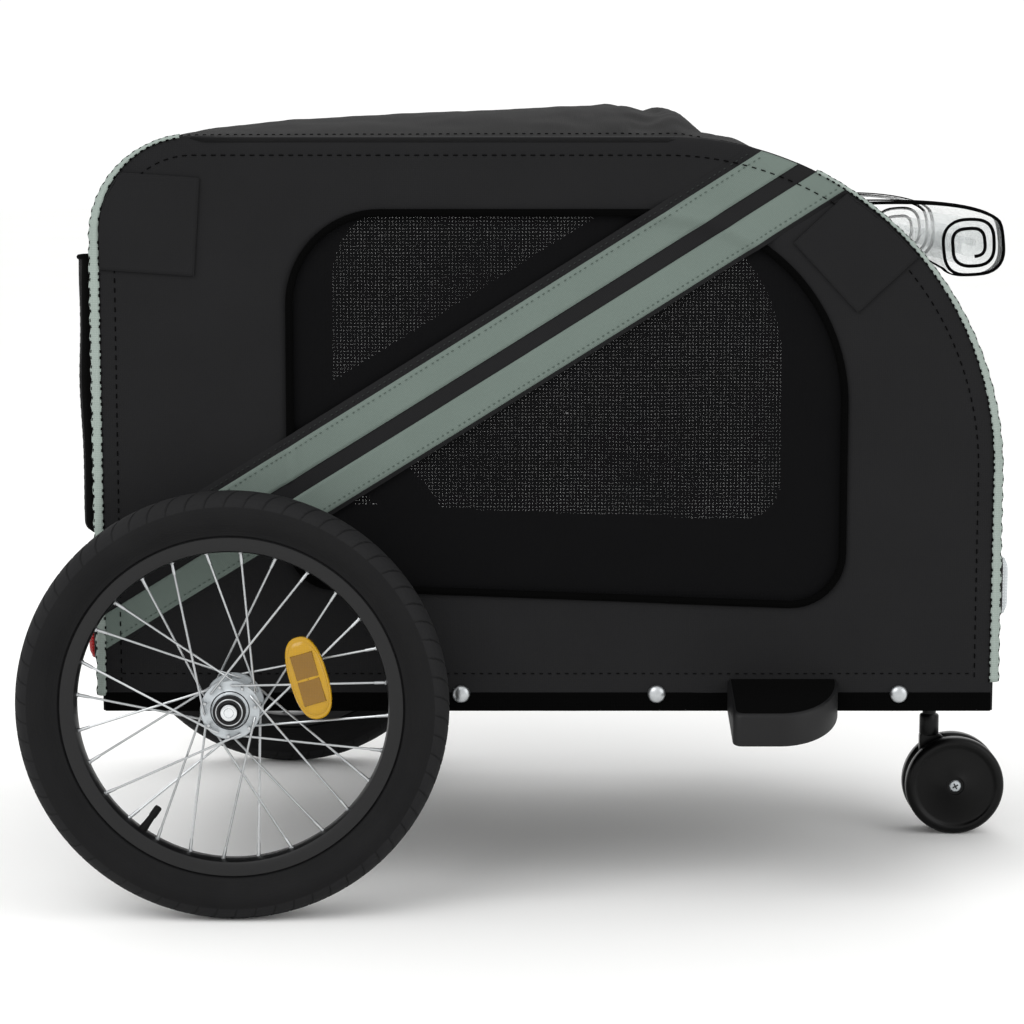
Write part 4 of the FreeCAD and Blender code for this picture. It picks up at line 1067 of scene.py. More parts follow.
    def net_relief(self, x: float, z: float) -> float:
        """Measure the net's slack, most in its lower front corner.

        Args:
            x: A place along the cabin.
            z: Its height.

        Returns:
            How far the net stands out there.
        """
        inside = 1.0 - math.hypot((x - self.window_centre[0]) / self.net_reach[0],
                                  (z - self.window_centre[1]) / self.net_reach[1]) ** 4
        near = math.exp(-((x - self.wrinkle_centre[0]) / self.wrinkle_size[0]) ** 2
                        - ((z - self.wrinkle_centre[1]) / self.wrinkle_size[1]) ** 2)
        ripple = math.sin((x * 0.75 - z * 0.5) / self.wrinkle_wave) * self.wrinkle_height * near
        return max(0.0, inside) * (1.8 * wander(x, 7.0, z, 120.0) + ripple)

    def band(self) -> None:
        """Make the black band and the two sage stripes sewn on it."""
        self.strip("band", -self.band_laps[0], self.band_width + self.band_laps[1], 0.3, "fabric", ())
        for index, top in enumerate(self.stripe_tops):
            self.strip(f"stripe_{index}", top, top + self.stripe_width, 1.2, "sage", ("side_stripes",))
        for name, drop, finish in (("edge", -self.band_seam, "grey_thread"), ("upper", self.band_seam, "sage_thread"),
                                   ("lower", self.band_width - self.band_seam, "sage_thread")):
            low, high = self.band_span(drop)
            line = [self.band_point(s, drop) for s in steps(low + 3, high - 3, 150)]
            stitches = Surface().stitches([self.spot(x, z, self.over(x, z)) for x, z in line], self.out, 2.2, 3.2, 0.4)
            self.add(f"band_stitches_{name}", stitches, finish)

    def strip(self, name: str, top: float, bottom: float, lift: float, finish: str, nodes: Sequence[str]) -> None:
        """Make one strip of the band.

        Args:
            name: Its name.
            top: Distance of its upper edge below the band's.
            bottom: Distance of its lower edge below the band's upper one.
            lift: How far it lies off the panel.
            finish: Its finish.
            nodes: The solids it stands for.
        """
        across = steps(top, bottom, 8)
        spans = [self.band_span(d) for d in across]
        rows, uvs = [], []
        for share in steps(0.0, 1.0, 150):
            along = [blend(low, high, share) for low, high in spans]
            flat = [self.band_point(s, d) for s, d in zip(along, across)]
            rows.append([self.spot(x, z, lift + self.bridge(x, z)) for x, z in flat])
            uvs.append(list(zip(along, across)))
        cloth = Surface().grid(rows, uvs=uvs)
        made = self.add(name, cloth, finish, nodes, 0.8)
        cloth.area()

    def bridge(self, x: float, z: float) -> float:
        """Return how far the band rises where it crosses the window's piping."""
        gap = min(math.dist((x, z), spot) for spot in self.window_edge)
        return self.bridge_rise * math.exp(-(gap / self.bridge_reach) ** 2)

    def over(self, x: float, z: float) -> float:
        """Measure the lift of a stitch, which lies on the band where that crosses.

        Args:
            x: The stitch's place along the cabin.
            z: Its height.

        Returns:
            The lift.
        """
        run, rise = x - self.band_start[0], z - self.band_start[1]
        drop = run * math.sin(self.band_slope) - rise * math.cos(self.band_slope)
        if -10.0 < drop < self.band_width + 5.0:
            return 1.7 + self.bridge(x, z)
        return SEAM_LIFT

    def band_point(self, along: float, drop: float) -> Flat:
        """Find a point of the band, which bows up a little towards the front.

        Args:
            along: Distance along the band.
            drop: Distance below its upper edge.

        Returns:
            Its x and z.
        """
        c, s = math.cos(self.band_slope), math.sin(self.band_slope)
        bow = 5.0 * (max(0.0, along) / 400.0) ** 2 * 0.4
        return self.band_start[0] + along * c + drop * s, self.band_start[1] + along * s - drop * c + bow

    def band_span(self, drop: float) -> Flat:
        """Find where a line of the band meets the outline at the rear and at the roof.

        Args:
            drop: The line's distance below the band's upper edge.

        Returns:
            Both distances along the band.
        """
        ends = []
        for high in (-320.0, 700.0):
            low = 150.0
            for _ in range(40):
                middle = (low + high) / 2
                if CABIN.depth(*self.band_point(middle, drop)) > 1.0:
                    low = middle
                else:
                    high = middle
            ends.append(low)
        return ends[0], ends[1]

    def patches(self) -> None:
        """Make the corner patches."""
        for name, centre, turn, wide, tall in self.patch_sizes:
            rows = [[self.spot(*self.patch_point(centre, math.radians(turn), u, v),
                               1.1 + 1.1 * max(abs(u) / wide, abs(v) / tall) ** 8) for u in steps(-wide, wide, 24)]
                    for v in steps(-tall, tall, 24)]
            cloth = Surface().grid(rows, uvs=[[(x, z) for x, _, z in row] for row in rows])
            made = self.add(f"patch_{name}", cloth, "fabric", ("corner_patches",), 1.4)
            cloth.area()

    def patch_point(self, centre: Flat, turn: float, u: float, v: float) -> Flat:
        """Find a point of a patch, kept inside the cabin's outline.

        Args:
            centre: The patch's middle.
            turn: Its turn.
            u: Distance along it.
            v: Distance up it.

        Returns:
            Its x and z.
        """
        x = centre[0] + u * math.cos(turn) - v * math.sin(turn)
        z = centre[1] + u * math.sin(turn) + v * math.cos(turn)
        short = self.patch_edge - CABIN.depth(x, z)
        if short <= 0:
            return x, z
        hub, _ = CABIN.arc(End.REAR if x < 0 else End.FRONT)
        if x < CABIN.rear_x + self.patch_edge and z < hub[1]:
            return CABIN.rear_x + self.patch_edge, z
        reach = math.dist((x, z), hub)
        return x + (hub[0] - x) * short / reach, z + (hub[1] - z) * short / reach

    def hem(self) -> None:
        """Make the bound lower edge, open where the axle passes."""
        xs = steps(CABIN.rear_x + 2, CABIN.front_x - 2, 150)
        rows = [[(x, self.side.value * (CABIN.half + out + 0.5 * wander(x, 0, z, 60)), z)
                 for out, z in self.hem_profile] for x in xs]
        uvs = [[(x, 9.0 * k) for k in range(len(self.hem_profile))] for x in xs]
        self.add("hem", Surface().grid(rows, uvs=uvs, skip=self.at_axle), "webbing")

    def studs(self) -> None:
        """Make the domed studs."""
        studs = Surface()
        for x in self.stud_xs:
            origin = (x, self.side.value * (CABIN.half + 1.6), CABIN.hem_top - 1.5)
            studs.lathe(self.stud_profile, origin, self.side.out, 36)
        self.shop.piece(f"studs_{self.side.label}", studs, "stud", nodes=("hem_studs",))

    def trims(self) -> None:
        """Make the pale trims round the rear and front edges, with their whipped seams."""
        for end, low, up, start, stop, round_it in self.trim_runs:
            path = CABIN.rise(end, low, CABIN.arc(end)[0][1], up)
            sizes = [1.0] * len(path)
            path += CABIN.bend(end, start, stop, round_it)[1:]
            sizes += [max(self.trim_taper[0], 1.0 - self.trim_taper[1] * s) for s in steps(0.0, 1.0, round_it)[1:]]
            rows, uvs = [], []
            for k, ((x, z, nx, nz), size) in enumerate(zip(path, sizes)):
                pucker = size * (1.0 + 0.12 * math.sin(k * 1.9))
                rows.append([(x + nx * out * pucker, self.side.value * (CABIN.half + (y if y > 0 else y * size)),
                              z + nz * out * pucker) for y, out in self.trim_section])
                uvs.append([(5.0 * k, 4.5 * c) for c in range(len(self.trim_section))])
            self.add(f"trim_{end.label}", Surface().grid(rows, uvs=uvs), "trim", ("edge_trims",), 0.6)
            whip = Surface().stitches([row[0] for row in rows], self.out, 3.2, 2.6, 0.9)
            whip.stitches([row[3] for row in rows], CABIN.end_out, 3.2, 2.6, 0.8)
            self.add(f"trim_whip_{end.label}", whip, "thread")

    def seams(self) -> None:
        """Make the stitched lines round the panel and above the hem."""
        line = [p for p in CABIN.outline(self.seam_inset, 9.0) if p[1] > CABIN.hem_top + 4]
        stitches = Surface().stitches([self.spot(x, z, self.over(x, z)) for x, z in line], self.out)
        level = CABIN.hem_top + 18
        hem = divided(((CABIN.rear_x + 18, level), (CABIN.front_x - 18, level)), 8.0)
        stitches.stitches([self.spot(x, z, SEAM_LIFT) for x, z in hem], self.out, 3.4, 3.4, 0.4)
        self.add("panel_stitches", stitches, "thread")


@dataclass
class Roof:
    """The slack roof sheet and the clips sewn under it."""

    shop: Workshop
    rear_x: float = CABIN.rear_x + 26.0
    front_x: float = CABIN.front_x - 184.0
    crowns: Profile = ((0.0, 1.5), (0.03, 3.0), (0.065, 6.0), (0.10, 9.0), (0.22, 18.0), (0.55, 28.0), (0.71, 32.0),
                       (0.82, 27.0), (0.87, 11.0), (0.93, 5.0), (1.0, 1.5))
    bunch: Flat = (120.0, 75.0)
    hem_span: Flat = (-330.0, 135.0)
    hem_fade: float = 20.0
    hem_out: float = 1.9
    hem_drops: Flat = (5.0, 1.6)
    seam_inset: float = 9.0
    seam_span: Flat = (-340.0, 150.0)
    # X and half width of the seam across the rear
    cross_seam: Flat = (-345.0, 240.0)
    clip_shares: Flat = (0.23, 0.76)
    clip_half: float = 21.3
    clip_wall: float = 3.0
    clip_tall: float = 10.1
    clip_reach: float = 35.0
    clip_round: float = 1.6

    def crown(self, x: float) -> float:
        """Measure the roof's crown above its edges.

        Args:
            x: A place along the roof.

        Returns:
            The crown there.
        """
        share = (x - self.rear_x) / (self.front_x - self.rear_x)
        for (low, low_rise), (high, high_rise) in zip(self.crowns, self.crowns[1:]):
            if share <= high:
                return blend(low_rise, high_rise, (share - low) / (high - low))
        return self.crowns[-1][1]

    def half(self, x: float) -> float:
        """Return half the roof's width, inside the rounded edges."""
        return CABIN.half - CABIN.tuck(x, CABIN.edge_height(x))

    def height(self, x: float, y: float) -> float:
        """Measure the roof with its slack and creases, which bunch over the front bow.

        Args:
            x: A place along the roof.
            y: A place across it.

        Returns:
            The height there.
        """
        level = 1 - (y / self.half(x)) ** 2
        bunched = math.exp(-((x - self.bunch[0]) / self.bunch[1]) ** 2)
        slack = 1.5 * wander(x, y, 0.0, 90.0) + (0.8 + 2.2 * bunched) * wander(x * 1.6, y * 0.7, 30.0, 34.0)
        fold = 2.6 * bunched * math.sin(x / 9.0 + 0.9 * math.sin(y / 60.0))
        crown = self.crown(x) * level
        return CABIN.edge_height(x) + crown + (slack + fold) * min(1.0, 2.5 * level) - CABIN.cloth_lift

    def hem(self, x: float) -> list[Flat]:
        """Draw the edge turned down over the side.

        Args:
            x: A place along the roof.

        Returns:
            Its y and z, lowest first.
        """
        share = limited(min((x - self.hem_span[0]) / self.hem_fade, (self.hem_span[1] - x) / self.hem_fade))
        levels = [CABIN.edge_height(x) - drop * share for drop in self.hem_drops]
        return [(CABIN.half + self.hem_out * share - CABIN.tuck(x, z), z - CABIN.cloth_lift) for z in levels]

    def build(self) -> None:
        """Make the roof, its seams and its clips."""
        rows = []
        for x in steps(self.rear_x, self.front_x, 130):
            hem = self.hem(x)
            top = [(x, y, self.height(x, y)) for y in steps(-self.half(x), self.half(x), 76)]
            rows.append([(x, -y, z) for y, z in hem] + top + [(x, y, z) for y, z in reversed(hem)])
        cloth = Surface().grid(rows, uvs=[[(x, y) for x, y, _ in row] for row in rows])
        # The roof takes the darkened copy of the cloth: painted shade on its top
        made = self.shop.piece("roof_cloth", cloth, "roof", "chassis", ("roof_panel",), SOFT, CLOTH)
        lines = [[(x, side.value * (self.half(x) - self.seam_inset)) for x in steps(*self.seam_span, 70)]
                 for side in Side]
        cross_x, reach = self.cross_seam
        lines.append([(cross_x, y) for y in steps(-reach, reach, 60)])
        seams = Surface()
        for line in lines:
            path = [(x, y, self.height(x, y) + SEAM_LIFT) for x, y in line]
            seams.stitches(path, lambda _: Vector((0, 0, 1)), 3.4, 3.4, 0.5)
        self.shop.piece("roof_stitches", seams, "thread", fold=SOFT)
        self.clips()

    def clips(self) -> None:
        """Make the two channels under the ridge that take the bows' ends."""
        half, tall, wall, edge = self.clip_half, self.clip_tall, self.clip_wall, self.clip_round
        profile = ((-half, tall), (-half, edge), (edge - half, 0.0), (half - edge, 0.0), (half, edge), (half, tall),
                   (half - wall, tall), (half - wall, wall), (wall - half, wall), (wall - half, tall))
        clips = Surface()
        for share in self.clip_shares:
            middle = blend(self.rear_x, self.front_x, share)
            top = min(CABIN.edge_height(x) + 0.96 * self.crown(x) for x in (middle - half, middle + half)) - 2.6
            rings = [[(middle + u, y, top - drop) for u, drop in profile]
                     for y in steps(-self.clip_reach, self.clip_reach, 6)]
            clips.grid(rings, wrap=True).cap(rings[0], rings[-1])
        self.shop.piece("ridge_clips_sewn", clips, "plastic", "chassis", ("ridge_clips",), SOFT, sharp=CRISP_ANGLE)


@dataclass
class EndWalls:
    """The rear and front walls, their zipped doors and the rear pocket."""

    shop: Workshop
    door_half: float = 215.0
    door_gap: float = 0.5
    sill_z: float = 245.0
    rear_top: float = 615.0
    rear_end: float = 135.3
    front_angle: float = 26.0
    front_end: float = 67.2
    border: float = 26.0
    zip_inset: float = 6.0
    zip_half: float = 9.0
    zip_lift: float = 1.3
    pocket_half: float = 190.0
    pocket_z: Flat = (341.0, 607.0)
    pocket_depth: float = 29.5
    pocket_flat: float = 175.0
    pocket_foot: float = 10.0
    pocket_ends: tuple[float, ...] = (0.0, 0.8, 1.8, 3.0, 5.0, 9.0)

    @property
    def front_top(self) -> float:
        """Return the height of the front door's upper edge."""
        return CABIN.bend(End.FRONT, 0.0, self.front_angle, 1)[1][1]

    def sheet(self, path: Sequence[Wall], ys: Sequence[float], puff: Callable[[float, float], float],
              skip: Callable[[Point], bool] | None = None) -> Surface:
        """Make a wall's sheet.

        Args:
            path: Points up the wall with their outward direction.
            ys: Places across it.
            puff: How far the cloth stands out at a place across and up.
            skip: Quads to leave out.

        Returns:
            The sheet.
        """
        rows, uvs, along = [], [], 0.0
        for k, (x, z, nx, nz) in enumerate(path):
            along += math.dist((x, z), path[max(0, k - 1)][:2])
            rows.append([(x + nx * puff(y, z), y, z + nz * puff(y, z)) for y in ys])
            uvs.append([(y, along) for y in ys])
        return Surface().grid(rows, uvs=uvs, skip=skip)

    def slack(self, y: float, z: float) -> float:
        """Return how far a wall's cloth stands out."""
        return -0.4 + 1.3 * wander(0.0, y, z, 110.0) * min(1.0, (CABIN.half - abs(y)) / 50.0)

    def rear_puff(self, y: float, z: float) -> float:
        """Return how far the rear door's cloth stands out."""
        return (1.4 + 1.6 * wander(5.0, y, z, 100.0)) * min(1.0, (z - self.sill_z) / 40.0)

    def front_puff(self, y: float, z: float) -> float:
        """Measure how far the front door's net stands out, most in its middle.

        Args:
            y: A place across the door.
            z: Its height.

        Returns:
            The distance outwards.
        """
        up = math.sin(math.pi * (z - self.sill_z) / (self.front_top - self.sill_z))
        middle = max(0.0, 1 - abs(y / (self.door_half - self.door_gap)) ** 3) * max(0.0, up)
        low = 0.6 * min(1.0, (z - self.sill_z) / 20.0)
        return low + 10.0 * middle ** 0.7 + 1.2 * wander(9.0, y, z, 80.0) * middle

    def build(self) -> None:
        """Make both ends."""
        self.rear()
        self.front()

    def wall(self, end: End, path: Sequence[Wall], top: float, flat: Flat) -> None:
        """Make an end's wall round its door.

        Args:
            end: Which end.
            path: Points up the wall.
            top: Height of the door's upper edge.
            flat: The cloth's flat size in metres; not used.
        """
        side = steps(self.door_half, CABIN.half, 7)
        ys = [-y for y in reversed(side)] + steps(-self.door_half, self.door_half, 40)[1:-1] + side
        cloth = self.sheet(path, ys, self.slack,
                           lambda p: abs(p[1]) < self.door_half and self.sill_z < p[2] < top)
        made = self.shop.piece(f"{end.label}_cloth", cloth, "fabric", "chassis", (f"{end.label}_panel",), SOFT, CLOTH)
        cloth.area()

    def rear(self) -> None:
        """Make the rear wall, door, pocket and zip."""
        end, sill, top = End.REAR, self.sill_z, self.rear_top
        path = CABIN.rise(end, CABIN.bottom_z, sill, 6) + CABIN.rise(end, sill, top, 40)[1:]
        path += CABIN.rise(end, top, CABIN.arc(end)[0][1], 2)[1:] + CABIN.bend(end, 180.0, self.rear_end, 14)[1:]
        self.wall(end, path, top, (0.57, 0.53))
        half = self.door_half - self.door_gap
        door = self.sheet(CABIN.rise(end, sill + 0.3, top - self.door_gap, 40), steps(-half, half, 44), self.rear_puff)
        made = self.shop.piece("rear_door_cloth", door, "fabric", "rear_door", ("rear_door",), SOFT, CLOTH)
        self.pocket()
        zipped = self.door_zip(end, CABIN.rise(end, sill + 8, top - self.zip_inset, 50), self.rear_puff)

    def front(self) -> None:
        """Make the front wall, the net door with its border, and the zip."""
        end, sill, angle = End.FRONT, self.sill_z, self.front_angle
        hub_z = CABIN.arc(end)[0][1]
        path = CABIN.rise(end, CABIN.bottom_z, sill, 6) + CABIN.rise(end, sill, hub_z, 22)[1:]
        path += CABIN.bend(end, 0.0, angle, 18)[1:] + CABIN.bend(end, angle, self.front_end, 30)[1:]
        self.wall(end, path, self.front_top, (0.57, 0.6))
        half = self.door_half - self.door_gap
        inner = CABIN.rise(end, sill + 0.3, hub_z, 22) + CABIN.bend(end, 0.0, angle - 0.1, 18)[1:]
        net = self.sheet(inner, steps(-half, half, 48), self.front_puff)
        made = self.shop.piece("front_door_net", net, "net", "front_door", ("front_door",), SOFT)
        low, high = inner[0][1] + self.border, inner[-1][1] - self.border
        finer = inner[:1]
        for start, stop in zip(inner, inner[1:]):
            finer += [tuple((a + b) / 2 for a, b in zip(start, stop)), stop]
        border = self.sheet(finer, steps(-half, half, 64), lambda y, z: self.front_puff(y, z) + 0.7,
                            lambda p: abs(p[1]) < half - self.border and low < p[2] < high)
        sewn = [self.shop.piece("front_door_border", border, "fabric", "front_door", fold=SOFT, thick=0.9)]
        sewn += self.door_zip(end, inner[2:-1] + CABIN.bend(end, angle - 1.0, angle - 0.8, 1), self.front_puff)

    def door_zip(self, end: End, rise: Sequence[Wall],
                 puff: Callable[[float, float], float]) -> list[bpy.types.Object]:
        """Make a door's zip up one side, over the top and down the other, over the gap round the door.

        Args:
            end: Which door.
            rise: Points up the door's side with their outward direction.
            puff: How far the door's cloth stands out at a place across and up.

        Returns:
            The zip's pieces: tape, teeth and slider.
        """
        inset = self.door_half - self.zip_inset
        spots = [(spot, -inset) for spot in rise] + [(rise[-1], y) for y in steps(-inset, inset, 60)[1:]]
        path = []
        for (x, z, nx, nz), y in spots + [(spot, inset) for spot in reversed(rise)][1:]:
            lift = puff(y, z) + self.zip_lift
            path.append((x + nx * lift, y, z + nz * lift))
        tape = Surface().ribbon(path, CABIN.end_out, self.zip_half, 0.9)
        raised = [Vector(p) + CABIN.end_out(p) * self.zip_lift for p in path]
        teeth = Surface()
        for shift in (-1.3, 1.3):
            line = []
            for k, spot in enumerate(raised):
                run = (raised[min(k + 1, len(raised) - 1)] - raised[max(0, k - 1)]).normalized()
                line.append(tuple(spot + run.cross(CABIN.end_out(tuple(spot))) * shift))
            teeth.stitches(line, CABIN.end_out, 1.9, 1.3, 1.1)
        foot, run = raised[0], (raised[2] - raised[0]).normalized()
        out = CABIN.end_out(tuple(foot))
        slider = Surface().block(foot + out * 1.5, (run * 6.5, run.cross(out) * 5.0, out * 1.6), 0.7)
        slider.block(foot + out * 2.9 + run * 13.0, (run * 11.0, run.cross(out) * 3.2, out * 0.7), 0.85)
        door = f"{end.label}_door"
        return [self.shop.piece(f"{door}_zip_{name}", surface, finish, door, fold=SOFT, thick=thick)
                for name, surface, finish, thick in (("tape", tape, "webbing", 0.5), ("teeth", teeth, "plastic", 0.0),
                                                     ("slider", slider, "plastic", 0.0))]

    def pocket_rows(self) -> list[list[Point]]:
        """Draw the pocket from its bottom up, sagging at the mouth.

        Returns:
            Rows of points across it.
        """
        (low, high), foot, flat = self.pocket_z, self.pocket_foot, self.pocket_flat
        deep, half, ends = self.pocket_depth, self.pocket_half, self.pocket_ends
        ys = [e - half for e in ends] + steps(-flat, flat, 56) + [half - e for e in reversed(ends)]
        profile = [(0.0, low)]
        profile += [(deep * (0.75 + 0.25 * math.sin(a)), low + foot * (1 - math.cos(a)))
                    for a in steps(0.0, math.pi / 2, 10)]
        profile += [(deep + 2.0 * math.sin(math.pi * k / 26), blend(low + foot, high, k / 26)) for k in range(1, 27)]
        rows = []
        for out, z in profile:
            mouth = max(0.0, (z - high + 60.0) / 60.0)
            row = []
            for y in ys:
                gusset = 1 - abs(y / half) ** 44
                slack = 2.4 * wander(3.0, y, z, 70.0) + 1.2 * mouth * math.sin(y / 5.5)
                sag = 9.0 * mouth * (1 - (y / half) ** 2)
                row.append((CABIN.rear_x - 2.0 - max(0.0, (out + slack) * gusset), y, z - sag))
            rows.append(row)
        return rows

    def pocket(self) -> None:
        """Make the flat pocket with its gussets, seams and bound mouth."""
        rows = self.pocket_rows()
        edge, first_seam = len(self.pocket_ends), 12
        front = [row[edge - 1:1 - edge] for row in rows]
        cloth = Surface().grid(front, uvs=[[(y, 10.0 * k) for _, y, _ in row] for k, row in enumerate(front)])
        made = self.shop.piece("rear_pocket_cloth", cloth, "fabric", "rear_door", ("rear_pocket",), SOFT, CLOTH)
        cloth.area()
        gussets = Surface().grid([row[:edge] for row in rows]).grid([row[-edge:] for row in rows])
        # The gussets take the near black copy of the cloth: painted shade
        made = self.shop.piece("rear_pocket_gussets", gussets, "shaded_gusset_fabric", "rear_door", (), SOFT, CLOTH)
        gussets.area()
        seams = Surface()
        for line in ([row[edge] for row in rows[first_seam:]], [row[-1 - edge] for row in rows[first_seam:]],
                     rows[first_seam][edge:-edge]):
            seams.stitches(line, CABIN.end_out)
        self.shop.piece("rear_pocket_stitches", seams, "thread", "rear_door", fold=SOFT)
        binding = Surface().tube(rows[-1], 2.6, 8).tube(rows[1], 1.6, 8)
        self.shop.piece("rear_pocket_binding", binding, "webbing", "rear_door", fold=SOFT)


@dataclass
class RainCover:
    """The rolled clear cover with its bound edges and straps."""

    shop: Workshop
    centre: Flat = (402.0, 619.3)
    radius: float = 32.5
    pitch: float = 9.0
    half: float = 245.0
    # Turns from the roll's top
    first_turn: float = 0.14
    bound_turns: float = 2.45
    film_turns: float = 3.3
    strap_turns: float = 0.62
    sewn_z: float = 658.0
    strap_y: float = 215.0
    strap_half: float = 9.0

    def turn(self, share: float, shift: float, y: float) -> Point:
        """Find a point of the roll.

        Args:
            share: Turns from the roll's top, round the front and inwards.
            shift: How far out of the film's middle.
            y: Place along the roll.

        Returns:
            The point.
        """
        angle = 2 * math.pi * share
        square = 1 - 0.05 * math.cos(4 * angle + 0.5)
        dent = 0.9 * wander(math.sin(angle) * 40, y * 0.6, math.cos(angle) * 40 + share * 50, 34.0)
        reach = (self.radius - self.pitch * (share - self.first_turn) + shift) * square + dent
        return self.centre[0] + reach * math.sin(angle), y, self.centre[1] + reach * math.cos(angle)

    def section(self, y: float, end: float, shift: float = 0.0) -> list[Point]:
        """Draw the film's line from the wall over the roll and inwards.

        Args:
            y: Place along the roll.
            end: Turns at which it ends.
            shift: How far out of the film's middle.

        Returns:
            Its points.
        """
        last = self.turn(self.first_turn, shift, y)
        first = (CABIN.corner_x(self.sewn_z, 2), self.sewn_z + shift)
        middle = (last[0] - 16.5, last[2] + 20.0)
        flap = []
        for share in steps(0.0, 1.0, 14)[:-1]:
            sag = 1.2 * wander(share * 60, y, 5.0, 40.0) * math.sin(math.pi * share)
            x, z = (blend(blend(a, b, share), blend(b, c, share), share)
                    for a, b, c in zip(first, middle, (last[0], last[2])))
            flap.append((x, y, z + sag))
        return flap + [self.turn(share, shift, y) for share in steps(self.first_turn, end, round(42 * end))]

    def build(self) -> None:
        """Make the cover."""
        ys = steps(-self.half, self.half, 70)
        sections = [self.section(y, self.film_turns) for y in ys]
        lengths = [0.0]
        for a, b in zip(sections[0], sections[0][1:]):
            lengths.append(lengths[-1] + math.dist(a, b))
        film = Surface().grid(sections, uvs=[[(s, y) for s in lengths] for y in ys])
        made = self.shop.piece("cover_film", film, "film", "chassis", ("rain_cover",), SOFT)
        bound = Surface()
        for y in (-self.half, self.half):
            bound.tube(self.section(y, self.bound_turns), 1.6, 8)
        sewn = [self.shop.piece("cover_binding", bound, "webbing", fold=SOFT), *map(self.strap, Side)]

    def strap(self, side: Side) -> bpy.types.Object:
        """Make one strap round the roll.

        Args:
            side: Which strap.

        Returns:
            The strap.
        """
        y = side.value * self.strap_y
        path = self.section(y, self.strap_turns, 2.2)
        end_z = path[-1][2] + 16.0
        path = divided([*path, (CABIN.corner_x(end_z, 1.6), y, end_z)], 6.0)
        strap = Surface().ribbon(path, self.roll_out, self.strap_half, 0.2)
        return self.shop.piece(f"cover_strap_{side.label}", strap, "webbing", "chassis", ("cover_straps",), SOFT, CLOTH)

    def roll_out(self, spot: Point) -> Vector:
        """Return the direction away from the roll's axis."""
        return Vector((spot[0] - self.centre[0], 0, spot[2] - self.centre[1])).normalized()


@dataclass
class EndReflectors:
    """The white front reflectors and the red rear ones, each a lens on its housing."""

    shop: Workshop
    y: float = 262.0
    off_wall: float = 6.0
    heights: tuple = ((End.FRONT, 301.0, "clear_lens"), (End.REAR, 259.0, "red_lens"))
    # Name, half width, half height, depth and dome
    layers: tuple = (("lens", 13.0, 27.0, 9.5, 0.25), ("housing", 14.4, 28.4, 5.0, 0.1))
    squareness: float = 5.0

    def build(self) -> None:
        """Make all four."""
        for end, z, lens_finish in self.heights:
            node = f"{end.label}_reflectors"
            for side in Side:
                centre = Vector((CABIN.wall(end) + end.value * self.off_wall, side.value * self.y, z))
                for name, wide, tall, deep, dome in self.layers:
                    axes = (Vector((0, wide, 0)), Vector((0, 0, tall)), Vector((end.value * deep, 0, 0)))
                    finish, nodes = (lens_finish, (node,)) if name == "lens" else ("plastic", ())
                    self.shop.piece(f"{node}_{side.label}_{name}", Surface().lens(centre, axes, self.squareness, dome),
                                    finish, "chassis", nodes, SOFT, sharp=CRISP_ANGLE)


